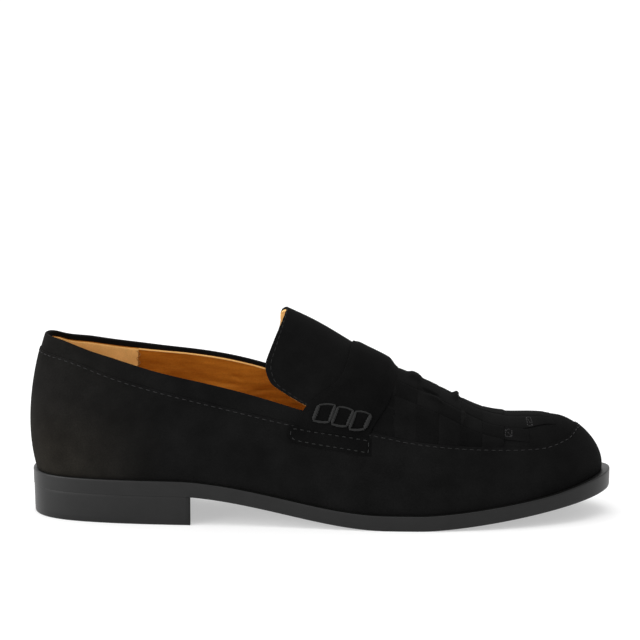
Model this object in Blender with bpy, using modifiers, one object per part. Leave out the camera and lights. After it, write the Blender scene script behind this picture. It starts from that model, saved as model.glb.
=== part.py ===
"""Woven penny loafer: one right shoe, built as an assembly of separate pieces.

Every piece of the upper is cut from one function, last_point, which gives the outside of the lasted shoe.
Sizes are in millimetres in the shoe's own frame: x runs forward from behind the heel, y to the
wearer's left (the inner side of a right shoe) and z up from the floor. Meshes are written in metres.
"""

import math

import bmesh
import bpy
import numpy as np

MM = 0.001  # metres in a millimetre
OUTER, INNER = -1.0, 1.0  # the two sides of the shoe, as the sign of y
GAP = 0.3  # clearance between neighbouring pieces


def table(columns, *rows):
    """A table's columns by name, each an array with one number for each row."""
    return dict(zip(columns.split(), np.array(rows, float).T))


# Driving sizes of the shoe.
HEEL_WELT, SIDE_WELT, TOE_WELT = 1.5, 2.4, 3.7  # how far the sole stands out past the upper
HEEL_WELT_END, TOE_WELT_START = 0.35, 0.6  # turns where it has changed from heel to side, and changes to toe
FEATHER_BACK, LAST_LENGTH = 2.3, 252.6  # back of the feather line, and its length to the tip
SOLE_TIP = FEATHER_BACK + LAST_LENGTH + TOE_WELT
SOLE_THICKNESS = 6.8
TIP_THICKENING, TIP_START = 1.4, 228.0  # how much thicker the sole is at its tip, and where that begins
HEEL_RISE = 13.0  # height of the heel block
SEAT_END = 64.0  # the sole is level over the heel up to here
BREAST_X = 73.0  # front of the heel on the outer side
BREAST_SKEW = -2.2  # how much further forward the breast reaches on the inner side
BREAST_HOLLOW = 6.5  # how far the breast curves in at its middle
HEEL_TAPER = 0.4  # how far the heel block draws in towards the floor
HEEL_ROUNDING = 0.6  # of its lower edge
HEEL_SETBACK = 0.3  # how far the heel block stands back from the edge of the sole
TREAD_START, TREAD_END = 160.0, 176.0  # flat spot under the ball
TOE_SPRING, SPRING_CURVE = 11.8, 1.42  # height at the tip, and the power it rises with
WALL = 2.0  # suede and lining together
WALL_LAP = 0.5  # the lower wall is lapped over the collar band and the vamp
BAND_LAP, VAMP_LAP = 0.06, 0.012  # width of the step there, as a share of the collar band and of the vamp
THROAT_X = 147.0  # back edge of the vamp, under the saddle strap
TONGUE_THICKNESS = 2.2
STRAP_THICKNESS = 1.6
TAB_THICKNESS = 0.8
INSOLE_THICKNESS = 2.4
INSOLE_CLEARANCE = 0.8

# Woven vamp: strips across the foot, counted from the saddle forward, and three strips along it on each
# side of the crest. Places along the arc over the vamp are measured from its crest.
WEAVE_START = 163.0
CROSS_PITCH = 9.6
CROSS_STRIPS = 5
INNER_LINE, OUTER_LINE = 14.0, 24.4  # where the first long strip meets the second, and that the third
NARROW_ARC = 36.0  # where the arc from crest to seam is shorter, the strips narrow with it
LONG_ENDS = (228.0, 220.0, 211.0)  # where the long strips end, from the crest outwards
STRIP_EDGE = 0.4  # half the gap between neighbouring strips
WEAVE_RISE = 1.4  # height of a strip where it passes over
EDGE_RISE = 1.1  # height at its cut edges there
DIP_RISE = 0.2  # height where it dives under its neighbour
END_RISE = 0.7  # height of a long strip's end in front of the last cross strip

# The feather line, where the upper meets the sole, seen from above.
OUTLINE = table(
    "share half_width centre",
    (0.00, 0.0, 0.0),
    (0.03, 17.6, 0.0),
    (0.10, 25.4, -0.2),
    (0.20, 28.6, -0.8),
    (0.32, 28.4, -2.8),
    (0.44, 29.2, -4.2),
    (0.56, 33.8, -3.6),
    (0.66, 38.4, -0.8),
    (0.74, 40.0, 2.0),
    (0.82, 37.8, 3.8),
    (0.90, 30.8, 4.3),
    (0.96, 20.6, 4.4),
    (1.00, 0.0, 5.0),
)

# The top of the last seen from the side: the ridge of the vamp and instep, and the cone behind it.
CREST = table(
    "x y z",
    (21.0, 0.0, 104.0),
    (60.0, 0.0, 106.0),
    (90.0, 1.0, 103.0),
    (114.0, 2.0, 92.4),
    (125.5, 2.5, 86.9),
    (142.0, 3.0, 77.1),
    (167.0, 3.5, 62.5),
    (179.0, 3.4, 57.0),
    (190.0, 3.2, 51.2),
    (200.0, 3.3, 46.6),
    (208.0, 3.4, 44.8),
    (222.0, 3.6, 44.7),
    (233.0, 3.6, 44.5),
)

# The fullness of each section: how far the wall swells out, how upright it stands and how square its
# shoulder is.
SECTIONS = table(
    "share swell upright shoulder",
    (0.00, 9.8, 0.40, 0.52),
    (0.10, 6.6, 0.43, 0.63),
    (0.20, 5.0, 0.40, 0.70),
    (0.35, 4.5, 0.42, 0.66),
    (0.50, 4.0, 0.46, 0.60),
    (0.65, 3.0, 0.52, 0.58),
    (0.80, 2.5, 0.56, 0.60),
    (0.92, 1.8, 0.53, 0.56),
    (1.00, 2.2, 0.47, 0.40),
)
LEAN_BACK, LEAN_FRONT = 100.0, 205.0  # sections stand square to the floor between these
CREST_BACK, CREST_FRONT = 21.0, 233.0  # ends of the crest, which the end sections lean to

# Lines on the outer side of the upper, seen from the side. The inner side is lifted by INNER_LIFT.
TOPLINE = table(
    "x z",
    (4.0, 80.5),
    (12.0, 80.4),
    (20.4, 78.5),
    (28.0, 76.2),
    (36.3, 74.0),
    (46.9, 71.0),
    (57.4, 68.1),
    (73.3, 64.6),
    (94.4, 59.8),
    (113.0, 54.6),
    (121.0, 52.3),
    (THROAT_X, 49.0),
)
WALL_EDGE = table(
    "x z",
    (3.0, 74.0),
    (18.9, 71.8),
    (32.4, 67.5),
    (51.4, 61.9),
    (75.5, 56.1),
    (100.6, 50.2),
    (113.9, 47.2),
    (133.0, 44.6),
    (154.8, 42.0),
    (167.6, 39.4),
    (185.1, 36.8),
    (204.5, 34.9),
    (223.9, 34.4),
    (231.7, 34.9),
    (237.3, 36.3),
    (241.4, 38.0),
    (243.7, 40.0),
)
INNER_LIFT = table(
    "x z",
    (6.0, 0.0),
    (13.0, -2.1),
    (24.0, -1.6),
    (36.0, -0.5),
    (48.0, 1.2),
    (62.0, 3.2),
    (78.0, 4.9),
    (104.0, 6.0),
    (121.0, 5.4),
    (150.0, 3.0),
    (185.0, 1.0),
    (215.0, 0.0),
)

# The free edge of the tongue, from beside the strap's end to the middle of its top.
TONGUE_EDGE = table(
    "share x z inner_shift",
    (0.00, 123.5, 54.2, 0.0),
    (0.10, 117.3, 57.5, 1.6),
    (0.18, 112.4, 60.5, 2.2),
    (0.25, 108.9, 63.0, 2.4),
    (0.33, 106.8, 66.8, 2.6),
    (0.42, 106.0, 70.8, 2.6),
    (0.55, 107.7, 76.6, 2.2),
    (0.68, 110.2, 82.6, 1.0),
    (0.84, 113.0, 88.6, -1.3),
    (1.00, 114.6, 92.2, 0.0),
)

# The saddle strap: its back and front edges from the middle of the instep down to its stitched end.
STRAP = table(
    "share back_x front_x",
    (0.00, 143.6, 160.8),
    (0.35, 141.5, 161.0),
    (0.60, 136.0, 160.0),
    (0.80, 125.4, 155.8),
    (0.90, 121.6, 153.2),
    (1.00, 119.6, 151.4),
)
STRAP_END_ABOVE_EDGE = 0.6  # the strap ends this far above the wall's edge

# The tab below each end of the strap, with a round back end.
TAB_BACK, TAB_FRONT = 116.0, 153.0
TAB_DROP_BACK, TAB_DROP_FRONT = 0.7, 2.3  # how far below the wall's edge it starts, at either end
TAB_HEIGHT = 7.6

# Profiles of outsole and insole from foot to top: the distance out from the edge, and the share of the
# thickness.
SOLE_PROFILE = table(
    "out height",
    (-0.6, 0.0),
    (-0.2, 0.08),
    (0.0, 0.80),
    (0.0, 0.92),
    (-0.3, 1.0),
)
INSOLE_PROFILE = table(
    "out height",
    (-0.6, 0.0),
    (0.0, 0.35),
    (0.0, 0.75),
    (-0.8, 1.0),
)

# How finely each piece is divided.
SOLE_STATIONS, INSOLE_STATIONS = 49, 33
HEEL_POINTS, BREAST_POINTS = 15, 9
TONGUE_ROWS, TONGUE_COLUMNS = 11, 9
STRAP_ROWS, STRAP_COLUMNS = 13, 7
TAB_END, TAB_COLUMNS, TAB_ROWS = 6, 6, 5
TAB_TIP_ANGLE = 0.2  # where the tab's round end is cut off, in radians
LINE_POINTS = 41  # along a section, where lengths are measured
CROSS_EDGE = 0.2  # share of a cross strip's width that counts as its edge
REAR_STATIONS, STRAP_STATIONS, TOE_STATIONS = 17, 4, 10


def spline(knots, values, flat_ends):
    """A smooth curve through a table's column. Its ends have no slope, or else no curvature."""
    step = np.diff(knots)
    rise = np.diff(values) / step
    count = len(knots)
    system = np.zeros((count, count))
    bend = np.zeros(count)
    for i in range(1, count - 1):
        system[i, i - 1 : i + 2] = step[i - 1], 2 * (step[i - 1] + step[i]), step[i]
        bend[i] = 6 * (rise[i] - rise[i - 1])
    system[0, 0] = system[-1, -1] = 1
    if flat_ends:
        system[0, :2] = 2 * step[0], step[0]
        system[-1, -2:] = step[-1], 2 * step[-1]
        bend[0], bend[-1] = 6 * rise[0], -6 * rise[-1]
    curve = np.linalg.solve(system, bend)

    def at(where):
        where = np.clip(where, knots[0], knots[-1])
        i = np.clip(np.searchsorted(knots, where) - 1, 0, count - 2)
        before, after = where - knots[i], knots[i + 1] - where
        bent = (curve[i] * after**3 + curve[i + 1] * before**3) / (6 * step[i])
        low = (values[i] / step[i] - curve[i] * step[i] / 6) * after
        high = (values[i + 1] / step[i] - curve[i + 1] * step[i] / 6) * before
        return bent + low + high

    return at


def turn_of(share):
    """How far round from heel to toe a share of the length is, so that the two ends come out round."""
    return np.arccos(np.clip(1 - 2 * np.asarray(share, float), -1, 1)) / math.pi


def share_of(turn):
    """The inverse of turn_of."""
    return (1 - np.cos(math.pi * np.asarray(turn, float))) / 2


def smooth(t):
    """Rises from 0 to 1 with no slope at either end."""
    t = np.clip(t, 0, 1)
    return t * t * (3 - 2 * t)


outline_turn = turn_of(OUTLINE["share"])
half_width = spline(outline_turn, OUTLINE["half_width"], flat_ends=False)
centre = spline(outline_turn, OUTLINE["centre"], flat_ends=True)
section_turn = turn_of(SECTIONS["share"])
swell = spline(section_turn, SECTIONS["swell"], flat_ends=True)
upright = spline(section_turn, SECTIONS["upright"], flat_ends=True)
shoulder = spline(section_turn, SECTIONS["shoulder"], flat_ends=True)
crest_y = spline(CREST["x"], CREST["y"], flat_ends=False)
crest_z = spline(CREST["x"], CREST["z"], flat_ends=False)
topline_z = spline(TOPLINE["x"], TOPLINE["z"], flat_ends=False)
wall_edge_z = spline(WALL_EDGE["x"], WALL_EDGE["z"], flat_ends=False)
inner_lift = spline(INNER_LIFT["x"], INNER_LIFT["z"], flat_ends=True)


def sole_bottom(x):
    """Height of the underside of the outsole: heel seat, arch, flat tread and toe spring."""
    arch = HEEL_RISE * smooth((TREAD_START - x) / (TREAD_START - SEAT_END))
    spring = TOE_SPRING * np.clip((x - TREAD_END) / (SOLE_TIP - TREAD_END), 0, 1) ** SPRING_CURVE
    return arch + spring


def sole_top(x):
    thickening = TIP_THICKENING * smooth((x - TIP_START) / (SOLE_TIP - TIP_START))
    return sole_bottom(x) + SOLE_THICKNESS + thickening


def feather(turn, side):
    """A point of the feather line seen from above, as x and y."""
    x = FEATHER_BACK + LAST_LENGTH * share_of(turn)
    return x, centre(turn) + side * half_width(turn)


def feather_offset(turn, side, distance):
    """A point outside the feather line, or inside it where the distance is negative."""
    small = 1e-4
    x, y = feather(turn, side)
    before, after = feather(np.clip(turn - small, 0, 1), side), feather(np.clip(turn + small, 0, 1), side)
    run, across = after[0] - before[0], after[1] - before[1]
    length = np.hypot(run, across)
    at_end = (turn < small) | (turn > 1 - small)
    out_x = np.where(at_end, np.sign(turn - 0.5), -side * across / length)
    out_y = np.where(at_end, 0.0, side * run / length)
    return x + distance * out_x, y + distance * out_y


def welt(turn):
    """How far the sole stands out past the feather line."""
    heel_part = smooth(1 - turn / HEEL_WELT_END)
    toe_part = smooth((turn - TOE_WELT_START) / (1 - TOE_WELT_START))
    return SIDE_WELT + (HEEL_WELT - SIDE_WELT) * heel_part + (TOE_WELT - SIDE_WELT) * toe_part


def crest_x(x):
    """Where the section that starts at x on the feather line meets the crest."""
    back, front = LEAN_BACK - FEATHER_BACK, FEATHER_BACK + LAST_LENGTH - LEAN_FRONT
    behind, ahead = np.clip(LEAN_BACK - x, 0, None), np.clip(x - LEAN_FRONT, 0, None)
    lag_back = (back - (LEAN_BACK - CREST_BACK)) * (behind / back) ** 2
    lag_front = (front - (CREST_FRONT - LEAN_FRONT)) * (ahead / front) ** 2
    return x + lag_back - lag_front


def last_point(turn, level, side):
    """A point on the outside of the shoe. Level runs from 0 at the feather line to 1 at the crest."""
    foot_x, foot_y = feather(turn, side)
    foot_z = sole_top(foot_x) + GAP
    top_x = crest_x(foot_x)
    top_y, top_z = crest_y(top_x), crest_z(top_x)
    slope = crest_z(top_x) - crest_z(top_x - 1.0)
    reach_x, reach_y = foot_x - top_x, foot_y - top_y
    reach = np.maximum(np.hypot(reach_x, reach_y), 1e-6)
    out = swell(turn) / reach
    wall_x, wall_y = foot_x + reach_x * out, foot_y + reach_y * out
    wall_z = foot_z + upright(turn) * (top_z - foot_z)
    full = shoulder(turn)
    arch_x, arch_y = top_x + full * reach_x, top_y + full * reach_y
    arch_z = top_z + full * reach_x * slope
    a, b, c, d = (1 - level) ** 3, 3 * (1 - level) ** 2 * level, 3 * (1 - level) * level**2, level**3
    return np.stack(
        [
            a * foot_x + b * wall_x + c * arch_x + d * top_x,
            a * foot_y + b * wall_y + c * arch_y + d * top_y,
            a * foot_z + b * wall_z + c * arch_z + d * top_z,
        ],
        axis=-1,
    )


def line_height(line_z, x, side):
    """Height of a line drawn on one side of the upper, seen from the side."""
    return line_z(x) + (inner_lift(x) if side == INNER else 0.0)


def level_on(line_z, turn, side, offset=0.0):
    """The level at which the section at this turn crosses a line, or runs this far above it."""
    low, high = 0.0, 1.0
    for _ in range(40):
        middle = (low + high) / 2
        x, _y, z = last_point(turn, middle, side)
        if z < line_height(line_z, x, side) + offset:
            low = middle
        else:
            high = middle
    return low


def level_at_height(turn, side, height):
    """The level at which the section at this turn reaches a height."""
    return level_on(lambda x: height - (inner_lift(x) if side == INNER else 0.0), turn, side)


def levels_by_length(turn, side, start, end, shares):
    """Levels at these shares of the surface length between two levels of one section."""
    levels = np.linspace(start, end, LINE_POINTS)
    points = last_point(np.full(levels.shape, turn), levels, side)
    lengths = np.concatenate([[0.0], np.cumsum(np.linalg.norm(np.diff(points, axis=0), axis=1))])
    return np.interp(np.asarray(shares) * lengths[-1], lengths, levels)


def turn_at(x):
    """The turn of the section that starts at x on the feather line."""
    return float(turn_of((x - FEATHER_BACK) / LAST_LENGTH))


def add_object(name, collection, parent, bm, material):
    """Writes a bmesh, whose points are in millimetres, as one named object in metres."""
    bmesh.ops.scale(bm, vec=(MM, MM, MM), verts=bm.verts)
    mesh = bpy.data.meshes.new(name)
    bm.to_mesh(mesh)
    bm.free()
    mesh.shade_smooth()
    mesh.set_sharp_from_angle(angle=math.radians(35))
    mesh.materials.append(material)
    thing = bpy.data.objects.new(name, mesh)
    thing.parent = parent
    collection.objects.link(thing)
    return thing


def add_grids(bm, grids):
    """Adds open surfaces given as arrays of points, rows by columns, and welds where they share edges."""
    for points in grids:
        rows = [[bm.verts.new(p) for p in row] for row in points]
        for low, high in zip(rows[:-1], rows[1:]):
            for a, b, c, d in zip(low[:-1], low[1:], high[1:], high[:-1]):
                bm.faces.new((a, b, c, d))
    bmesh.ops.remove_doubles(bm, verts=bm.verts, dist=1e-4)
    bmesh.ops.recalc_face_normals(bm, faces=bm.faces)


def face_outwards(bm):
    """Turns an open shell so that its faces point away from the middle of the foot."""
    bm.normal_update()
    top = max(bm.verts, key=lambda v: v.co.z)
    if top.normal.z < 0:
        bmesh.ops.reverse_faces(bm, faces=bm.faces)
        bm.normal_update()


def shell(name, collection, parent, bm, material, lift, thickness):
    """A thick wall on an open surface. It is moved out by lift, then thickened outwards.

    The thickness is one number, or a function of the point on the surface.
    """
    face_outwards(bm)
    places = [v.co.copy() for v in bm.verts]
    for v in bm.verts:
        v.co += v.normal * lift
    each = [thickness(p) if callable(thickness) else thickness for p in places]
    most = max(each)
    thing = add_object(name, collection, parent, bm, material)
    group = thing.vertex_groups.new(name="thickness")
    for i, amount in enumerate(each):
        group.add([i], amount / most, "REPLACE")
    solid = thing.modifiers.new("wall", "SOLIDIFY")
    solid.thickness = most * MM
    solid.offset = 1.0
    solid.vertex_group = group.name
    solid.use_rim = True
    return thing


def sole_sections(turns, bottom, top, edge, profile):
    """Closed sections of a sole, back to front. Its edge lies this far outside the feather line."""
    for turn in turns:
        sides = []
        for side in (OUTER, INNER):
            column = []
            for out, height in zip(profile["out"], profile["height"]):
                x, y = feather_offset(turn, side, edge(turn) + out)
                column.append((x, y, bottom(x) + height * (top(x) - bottom(x))))
            sides.append(column)
        yield sides[0] + sides[1][::-1]


def loft(bm, sections):
    """Joins closed sections of equal count. The first and last have closed up to a line."""
    loops = [[bm.verts.new(p) for p in points] for points in sections]
    for back, front in zip(loops[:-1], loops[1:]):
        count = len(back)
        for i in range(count):
            j = (i + 1) % count
            bm.faces.new((back[i], back[j], front[j], front[i]))
    bmesh.ops.remove_doubles(bm, verts=bm.verts, dist=1e-3)
    bmesh.ops.dissolve_degenerate(bm, edges=bm.edges, dist=1e-4)
    bmesh.ops.recalc_face_normals(bm, faces=bm.faces)


def make_outsole(collection, parent, material):
    """The outsole: heel seat, arch, tread and toe spring, with a rim that stands out round the upper."""
    bm = bmesh.new()
    turns = np.linspace(0, 1, SOLE_STATIONS)
    loft(bm, sole_sections(turns, sole_bottom, sole_top, welt, SOLE_PROFILE))
    return add_object("outsole", collection, parent, bm, material)


def breast_x(y):
    """The front of the heel block, hollowed at its middle and skewed forward on the inner side."""
    half = float(half_width(turn_at(BREAST_X)))
    across = (y - float(centre(turn_at(BREAST_X)))) / half
    hollow = BREAST_HOLLOW * np.clip(1 - across**2, 0, None)
    return BREAST_X + BREAST_SKEW * (across + 1) / 2 - hollow


def heel_outline(inset):
    """The heel block seen from above, from the breast round the back to the breast again."""
    points = []
    for side in (OUTER, INNER):
        corner = BREAST_X + (BREAST_SKEW if side == INNER else 0.0)
        run = []
        for turn in np.linspace(0, turn_at(corner), HEEL_POINTS):
            run.append(feather_offset(turn, side, welt(turn) - HEEL_SETBACK - inset))
        points.append(run)
    start, end = points[1][-1], points[0][-1]
    breast = []
    for y in np.linspace(start[1], end[1], BREAST_POINTS)[1:-1]:
        breast.append((float(breast_x(y)), y))
    return points[0][::-1] + points[1][1:] + breast


def make_heel(collection, parent, material):
    """The heel block, drawn in a little towards the floor, with a hollow breast."""
    bm = bmesh.new()
    heights = (
        (0.0, HEEL_TAPER + HEEL_ROUNDING),
        (HEEL_ROUNDING, HEEL_TAPER),
        (HEEL_RISE - GAP, 0.0),
    )
    loops = [[bm.verts.new((x, y, z)) for x, y in heel_outline(inset)] for z, inset in heights]
    for v in loops[-1]:
        v.co.z = float(sole_bottom(v.co.x)) - GAP
    for low, high in zip(loops[:-1], loops[1:]):
        for i in range(len(low)):
            j = (i + 1) % len(low)
            bm.faces.new((low[i], low[j], high[j], high[i]))
    bm.faces.new(loops[0])
    bm.faces.new(loops[-1])
    bmesh.ops.recalc_face_normals(bm, faces=bm.faces)
    return add_object("heel", collection, parent, bm, material)


def make_insole(collection, parent, material):
    """The sock inside the shoe, resting on the outsole."""

    def edge(_turn):
        return -(WALL + INSOLE_CLEARANCE)

    def bottom(x):
        return sole_top(x) + GAP

    def top(x):
        return bottom(x) + INSOLE_THICKNESS

    bm = bmesh.new()
    turns = np.linspace(0, 1, INSOLE_STATIONS)
    loft(bm, sole_sections(turns, bottom, top, edge, INSOLE_PROFILE))
    return add_object("insole", collection, parent, bm, material)


# Rows of the upper from feather line to crest: those of the wall, as shares of its height, then those of the
# vamp, by the long strip that each lies on, counted from the crest, and by the part of it.
WALL_ROWS = (0.0, 0.2, 0.42, 0.64, 0.85, 1.0)
VAMP_STRIPS = (3, 3, 3, 2, 2, 2, 1, 1, 1)
VAMP_PARTS = ("seam", "middle", "edge", "edge", "middle", "edge", "edge", "middle", "edge")
BAND_ROW = 2  # the vamp's row that carries on from the topline


def cross_strip(x):
    """Which cross strip of the weave x lies on, and how far along it from 0 to 1."""
    place = (x - WEAVE_START) / CROSS_PITCH
    return int(math.floor(place)), place - math.floor(place)


def upper_stations():
    """Turns of the upper's sections: the quarters, the strap's bed, the weave and the toe."""
    rear = np.linspace(0, turn_at(THROAT_X), REAR_STATIONS)
    strap = [turn_at(x) for x in np.linspace(THROAT_X, WEAVE_START, STRAP_STATIONS)[1:-1]]
    weave = []
    for strip in range(CROSS_STRIPS):
        start = WEAVE_START + strip * CROSS_PITCH
        for place in (STRIP_EDGE, CROSS_PITCH / 2, CROSS_PITCH - STRIP_EDGE):
            weave.append(turn_at(start + place))
    toe = np.linspace(weave[-1], 1, TOE_STATIONS)[1:]
    return list(rear), strap + weave + list(toe)


def vamp_shares(turn, side, edge):
    """Places of the vamp's rows on the arc from the wall's edge to the crest, as shares of that arc."""
    line = last_point(np.full(LINE_POINTS, turn), np.linspace(edge, 1, LINE_POINTS), side)
    arc = float(np.sum(np.linalg.norm(np.diff(line, axis=0), axis=1)))
    narrow = min(1.0, arc / NARROW_ARC)
    inner, outer = INNER_LINE * narrow, OUTER_LINE * narrow
    from_crest = np.array(
        [
            arc * (1 - VAMP_LAP),
            (arc + outer) / 2,
            outer + STRIP_EDGE,
            outer - STRIP_EDGE,
            (inner + outer) / 2,
            inner + STRIP_EDGE,
            inner - STRIP_EDGE,
            inner / 2,
            0.0,
        ]
    )
    return 1 - from_crest / arc


def upper_levels(turn, side, with_vamp):
    """The levels of one section's rows, up to the topline or on over the vamp to the crest."""
    edge = level_on(wall_edge_z, turn, side)
    x = float(feather(turn, side)[0])
    wall = edge * np.array(WALL_ROWS)
    if not with_vamp:
        top = level_on(topline_z, turn, side)
        shares = (BAND_LAP, 0.5, 1.0)
        return np.concatenate([wall, levels_by_length(turn, side, edge, top, shares)])
    throat = turn_at(THROAT_X)
    throat_edge = level_on(wall_edge_z, throat, side)
    throat_top = level_on(topline_z, throat, side)
    rows = vamp_shares(turn, side, edge)
    row = rows[BAND_ROW]
    band = (throat_top - throat_edge) / (1 - throat_edge)
    band += (row - band) * float(smooth((x - THROAT_X) / (WEAVE_START - THROAT_X)))
    below = rows / row * band
    above = band + (rows - row) / (1 - row) * (1 - band)
    shares = np.where(rows <= row, below, above)
    return np.concatenate([wall, levels_by_length(turn, side, edge, 1.0, shares)])


def weave_rise(x, row, side):
    """Height of the woven strips above the vamp's base at one of its rows."""
    cross, place = cross_strip(x)
    part, long = VAMP_PARTS[row], VAMP_STRIPS[row]
    if part == "seam" or cross < 0:
        return 0.0
    if cross >= CROSS_STRIPS:
        return END_RISE if x < LONG_ENDS[long - 1] else 0.0
    at_cross_edge = min(place, 1 - place) < CROSS_EDGE
    at_crest = row == len(VAMP_PARTS) - 1
    if at_crest:
        return DIP_RISE if at_cross_edge else EDGE_RISE / 2
    number = long if side == OUTER else 1 - long
    long_over = (cross + number) % 2 == 1
    if at_cross_edge and part == "edge":
        return DIP_RISE
    if at_cross_edge:
        return DIP_RISE if long_over else EDGE_RISE
    if part == "edge":
        return EDGE_RISE if long_over else DIP_RISE
    return WEAVE_RISE


def make_upper(collection, parent, material):
    """The upper: quarters, collar band and woven vamp as one hollow wall, open at the collar and beneath."""
    rear, front = upper_stations()
    wall_rows = len(WALL_ROWS)
    grids, raised = [], {}

    def key(point):
        return tuple(round(float(c), 3) for c in point)

    for side in (OUTER, INNER):
        quarter = []
        for turn in rear:
            levels = upper_levels(turn, side, with_vamp=False)
            quarter.append(last_point(np.full(levels.shape, turn), levels, side))
        vamp = []
        for turn in [rear[-1]] + front:
            levels = upper_levels(turn, side, with_vamp=True)
            points = last_point(np.full(levels.shape, turn), levels, side)
            for row, point in enumerate(points):
                over = WALL_LAP if row < wall_rows else weave_rise(point[0], row - wall_rows, side)
                raised[key(point)] = over
            vamp.append(points)
        low_rows = len(quarter[-1])
        vamp[0][:low_rows] = quarter[-1]
        for points in quarter:
            for row, point in enumerate(points):
                raised[key(point)] = WALL_LAP if row < wall_rows else 0.0
        grids += [np.array(quarter), np.array(vamp)]
    bm = bmesh.new()
    add_grids(bm, grids)

    def thickness(place):
        return WALL - WALL_LAP + raised.get(key(place), 0.0)

    return shell("upper", collection, parent, bm, material, -WALL, thickness)


def make_tongue(collection, parent, material):
    """The tongue: a flap on the line of the vamp, from under the saddle strap up to its free edge."""
    front_turn = turn_at(THROAT_X - GAP)
    edge_x = spline(TONGUE_EDGE["share"], TONGUE_EDGE["x"], flat_ends=False)
    edge_z = spline(TONGUE_EDGE["share"], TONGUE_EDGE["z"], flat_ends=False)
    edge_shift = spline(TONGUE_EDGE["share"], TONGUE_EDGE["inner_shift"], flat_ends=False)
    grids = []
    for side in (OUTER, INNER):
        low = level_on(topline_z, front_turn, side, offset=2 * GAP)
        rows = []
        for share in np.linspace(0, 1, TONGUE_ROWS):
            front_level = low + share * (1 - low)
            x = float(edge_x(share))
            if side == INNER:
                x += float(edge_shift(share))
            lift = float(inner_lift(x)) * (1 - share) if side == INNER else 0.0
            turn = turn_at(x)
            level = 1.0 if share == 1 else level_at_height(turn, side, float(edge_z(share)) + lift)
            along = np.linspace(0, 1, TONGUE_COLUMNS)
            turns = front_turn + along * (turn - front_turn)
            rows.append(last_point(turns, front_level + along * (level - front_level), side))
        grids.append(np.array(rows))
    bm = bmesh.new()
    add_grids(bm, grids)
    return shell("tongue", collection, parent, bm, material, -TONGUE_THICKNESS, TONGUE_THICKNESS)


def strap_grid(side):
    """One half of the saddle strap's underside, from the middle of the instep to its stitched end."""
    back_x = spline(STRAP["share"], STRAP["back_x"], flat_ends=False)
    front_x = spline(STRAP["share"], STRAP["front_x"], flat_ends=False)
    points = []
    for share in np.linspace(0, 1, STRAP_ROWS):
        row = []
        for x in np.linspace(float(back_x(share)), float(front_x(share)), STRAP_COLUMNS):
            turn = turn_at(x)
            end = level_on(wall_edge_z, turn, side, offset=STRAP_END_ABOVE_EDGE)
            level = levels_by_length(turn, side, 1.0, end, [share])[0]
            row.append(last_point(turn, level, side))
        points.append(row)
    return np.array(points)


def make_saddle_strap(collection, parent, material):
    """The saddle strap over the instep, with flared ends."""
    bm = bmesh.new()
    add_grids(bm, [strap_grid(side) for side in (OUTER, INNER)])
    return shell("saddle_strap", collection, parent, bm, material, GAP, STRAP_THICKNESS)


def make_tab(name, side, collection, parent, material):
    """The tab of the strap that shows below its stitched end, flat against the wall."""
    radius = TAB_HEIGHT / 2
    columns = []
    for angle in np.linspace(TAB_TIP_ANGLE, math.pi / 2, TAB_END):
        columns.append((TAB_BACK + radius * (1 - math.cos(angle)), radius * math.sin(angle)))
    for x in np.linspace(TAB_BACK + radius, TAB_FRONT, TAB_COLUMNS)[1:]:
        columns.append((x, radius))
    points = []
    for x, half_height in columns:
        turn = turn_at(x)
        column = []
        along = (x - TAB_BACK) / (TAB_FRONT - TAB_BACK)
        drop = TAB_DROP_BACK + along * (TAB_DROP_FRONT - TAB_DROP_BACK)
        for share in np.linspace(1, -1, TAB_ROWS):
            depth = drop + radius + share * half_height
            column.append(last_point(turn, level_on(wall_edge_z, turn, side, offset=-depth), side))
        points.append(column)
    bm = bmesh.new()
    add_grids(bm, [np.array(points)])
    return shell(name, collection, parent, bm, material, GAP, TAB_THICKNESS)


def make_material(name, colour, roughness):
    material = bpy.data.materials.new(name)
    material.use_nodes = True
    shader = material.node_tree.nodes["Principled BSDF"]
    shader.inputs["Base Color"].default_value = (*colour, 1.0)
    shader.inputs["Roughness"].default_value = roughness
    shader.inputs["Metallic"].default_value = 0.0
    return material


def centre_on_floor(root, things):
    """Moves the shoe so that the middle of its box, seen from above, stands at the origin."""
    bpy.context.view_layer.update()
    shapes = bpy.context.evaluated_depsgraph_get()
    corners = []
    for thing in things:
        evaluated = thing.evaluated_get(shapes)
        corners += [evaluated.matrix_world @ v.co for v in evaluated.data.vertices]
    low = [min(c[i] for c in corners) for i in range(2)]
    high = [max(c[i] for c in corners) for i in range(2)]
    root.location = (-(low[0] + high[0]) / 2, -(low[1] + high[1]) / 2, 0)


def main():
    for thing in list(bpy.data.objects):
        bpy.data.objects.remove(thing)
    scene = bpy.context.scene.collection
    parts = bpy.data.collections.new("woven_penny_loafer")
    scene.children.link(parts)
    root = bpy.data.objects.new("shoe", None)
    parts.objects.link(root)

    suede = make_material("black_suede", (0.008, 0.008, 0.008), 0.95)
    rubber = make_material("sole_rubber", (0.03, 0.03, 0.03), 0.5)
    leather = make_material("tan_leather", (0.45, 0.2, 0.06), 0.6)

    things = [
        make_outsole(parts, root, rubber),
        make_heel(parts, root, rubber),
        make_insole(parts, root, leather),
        make_upper(parts, root, suede),
        make_tongue(parts, root, suede),
        make_saddle_strap(parts, root, suede),
        make_tab("strap_tab_outer", OUTER, parts, root, suede),
        make_tab("strap_tab_inner", INNER, parts, root, suede),
    ]
    centre_on_floor(root, things)


main()
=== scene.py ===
"""Woven penny loafer: the looks of one right shoe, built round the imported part.

Sizes are in millimetres in the shoe's own frame: x runs forward from behind the heel, y to the
wearer's left (the inner side of a right shoe) and z up from the floor. Meshes are written in metres.
"""

import math
from functools import partial

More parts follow.
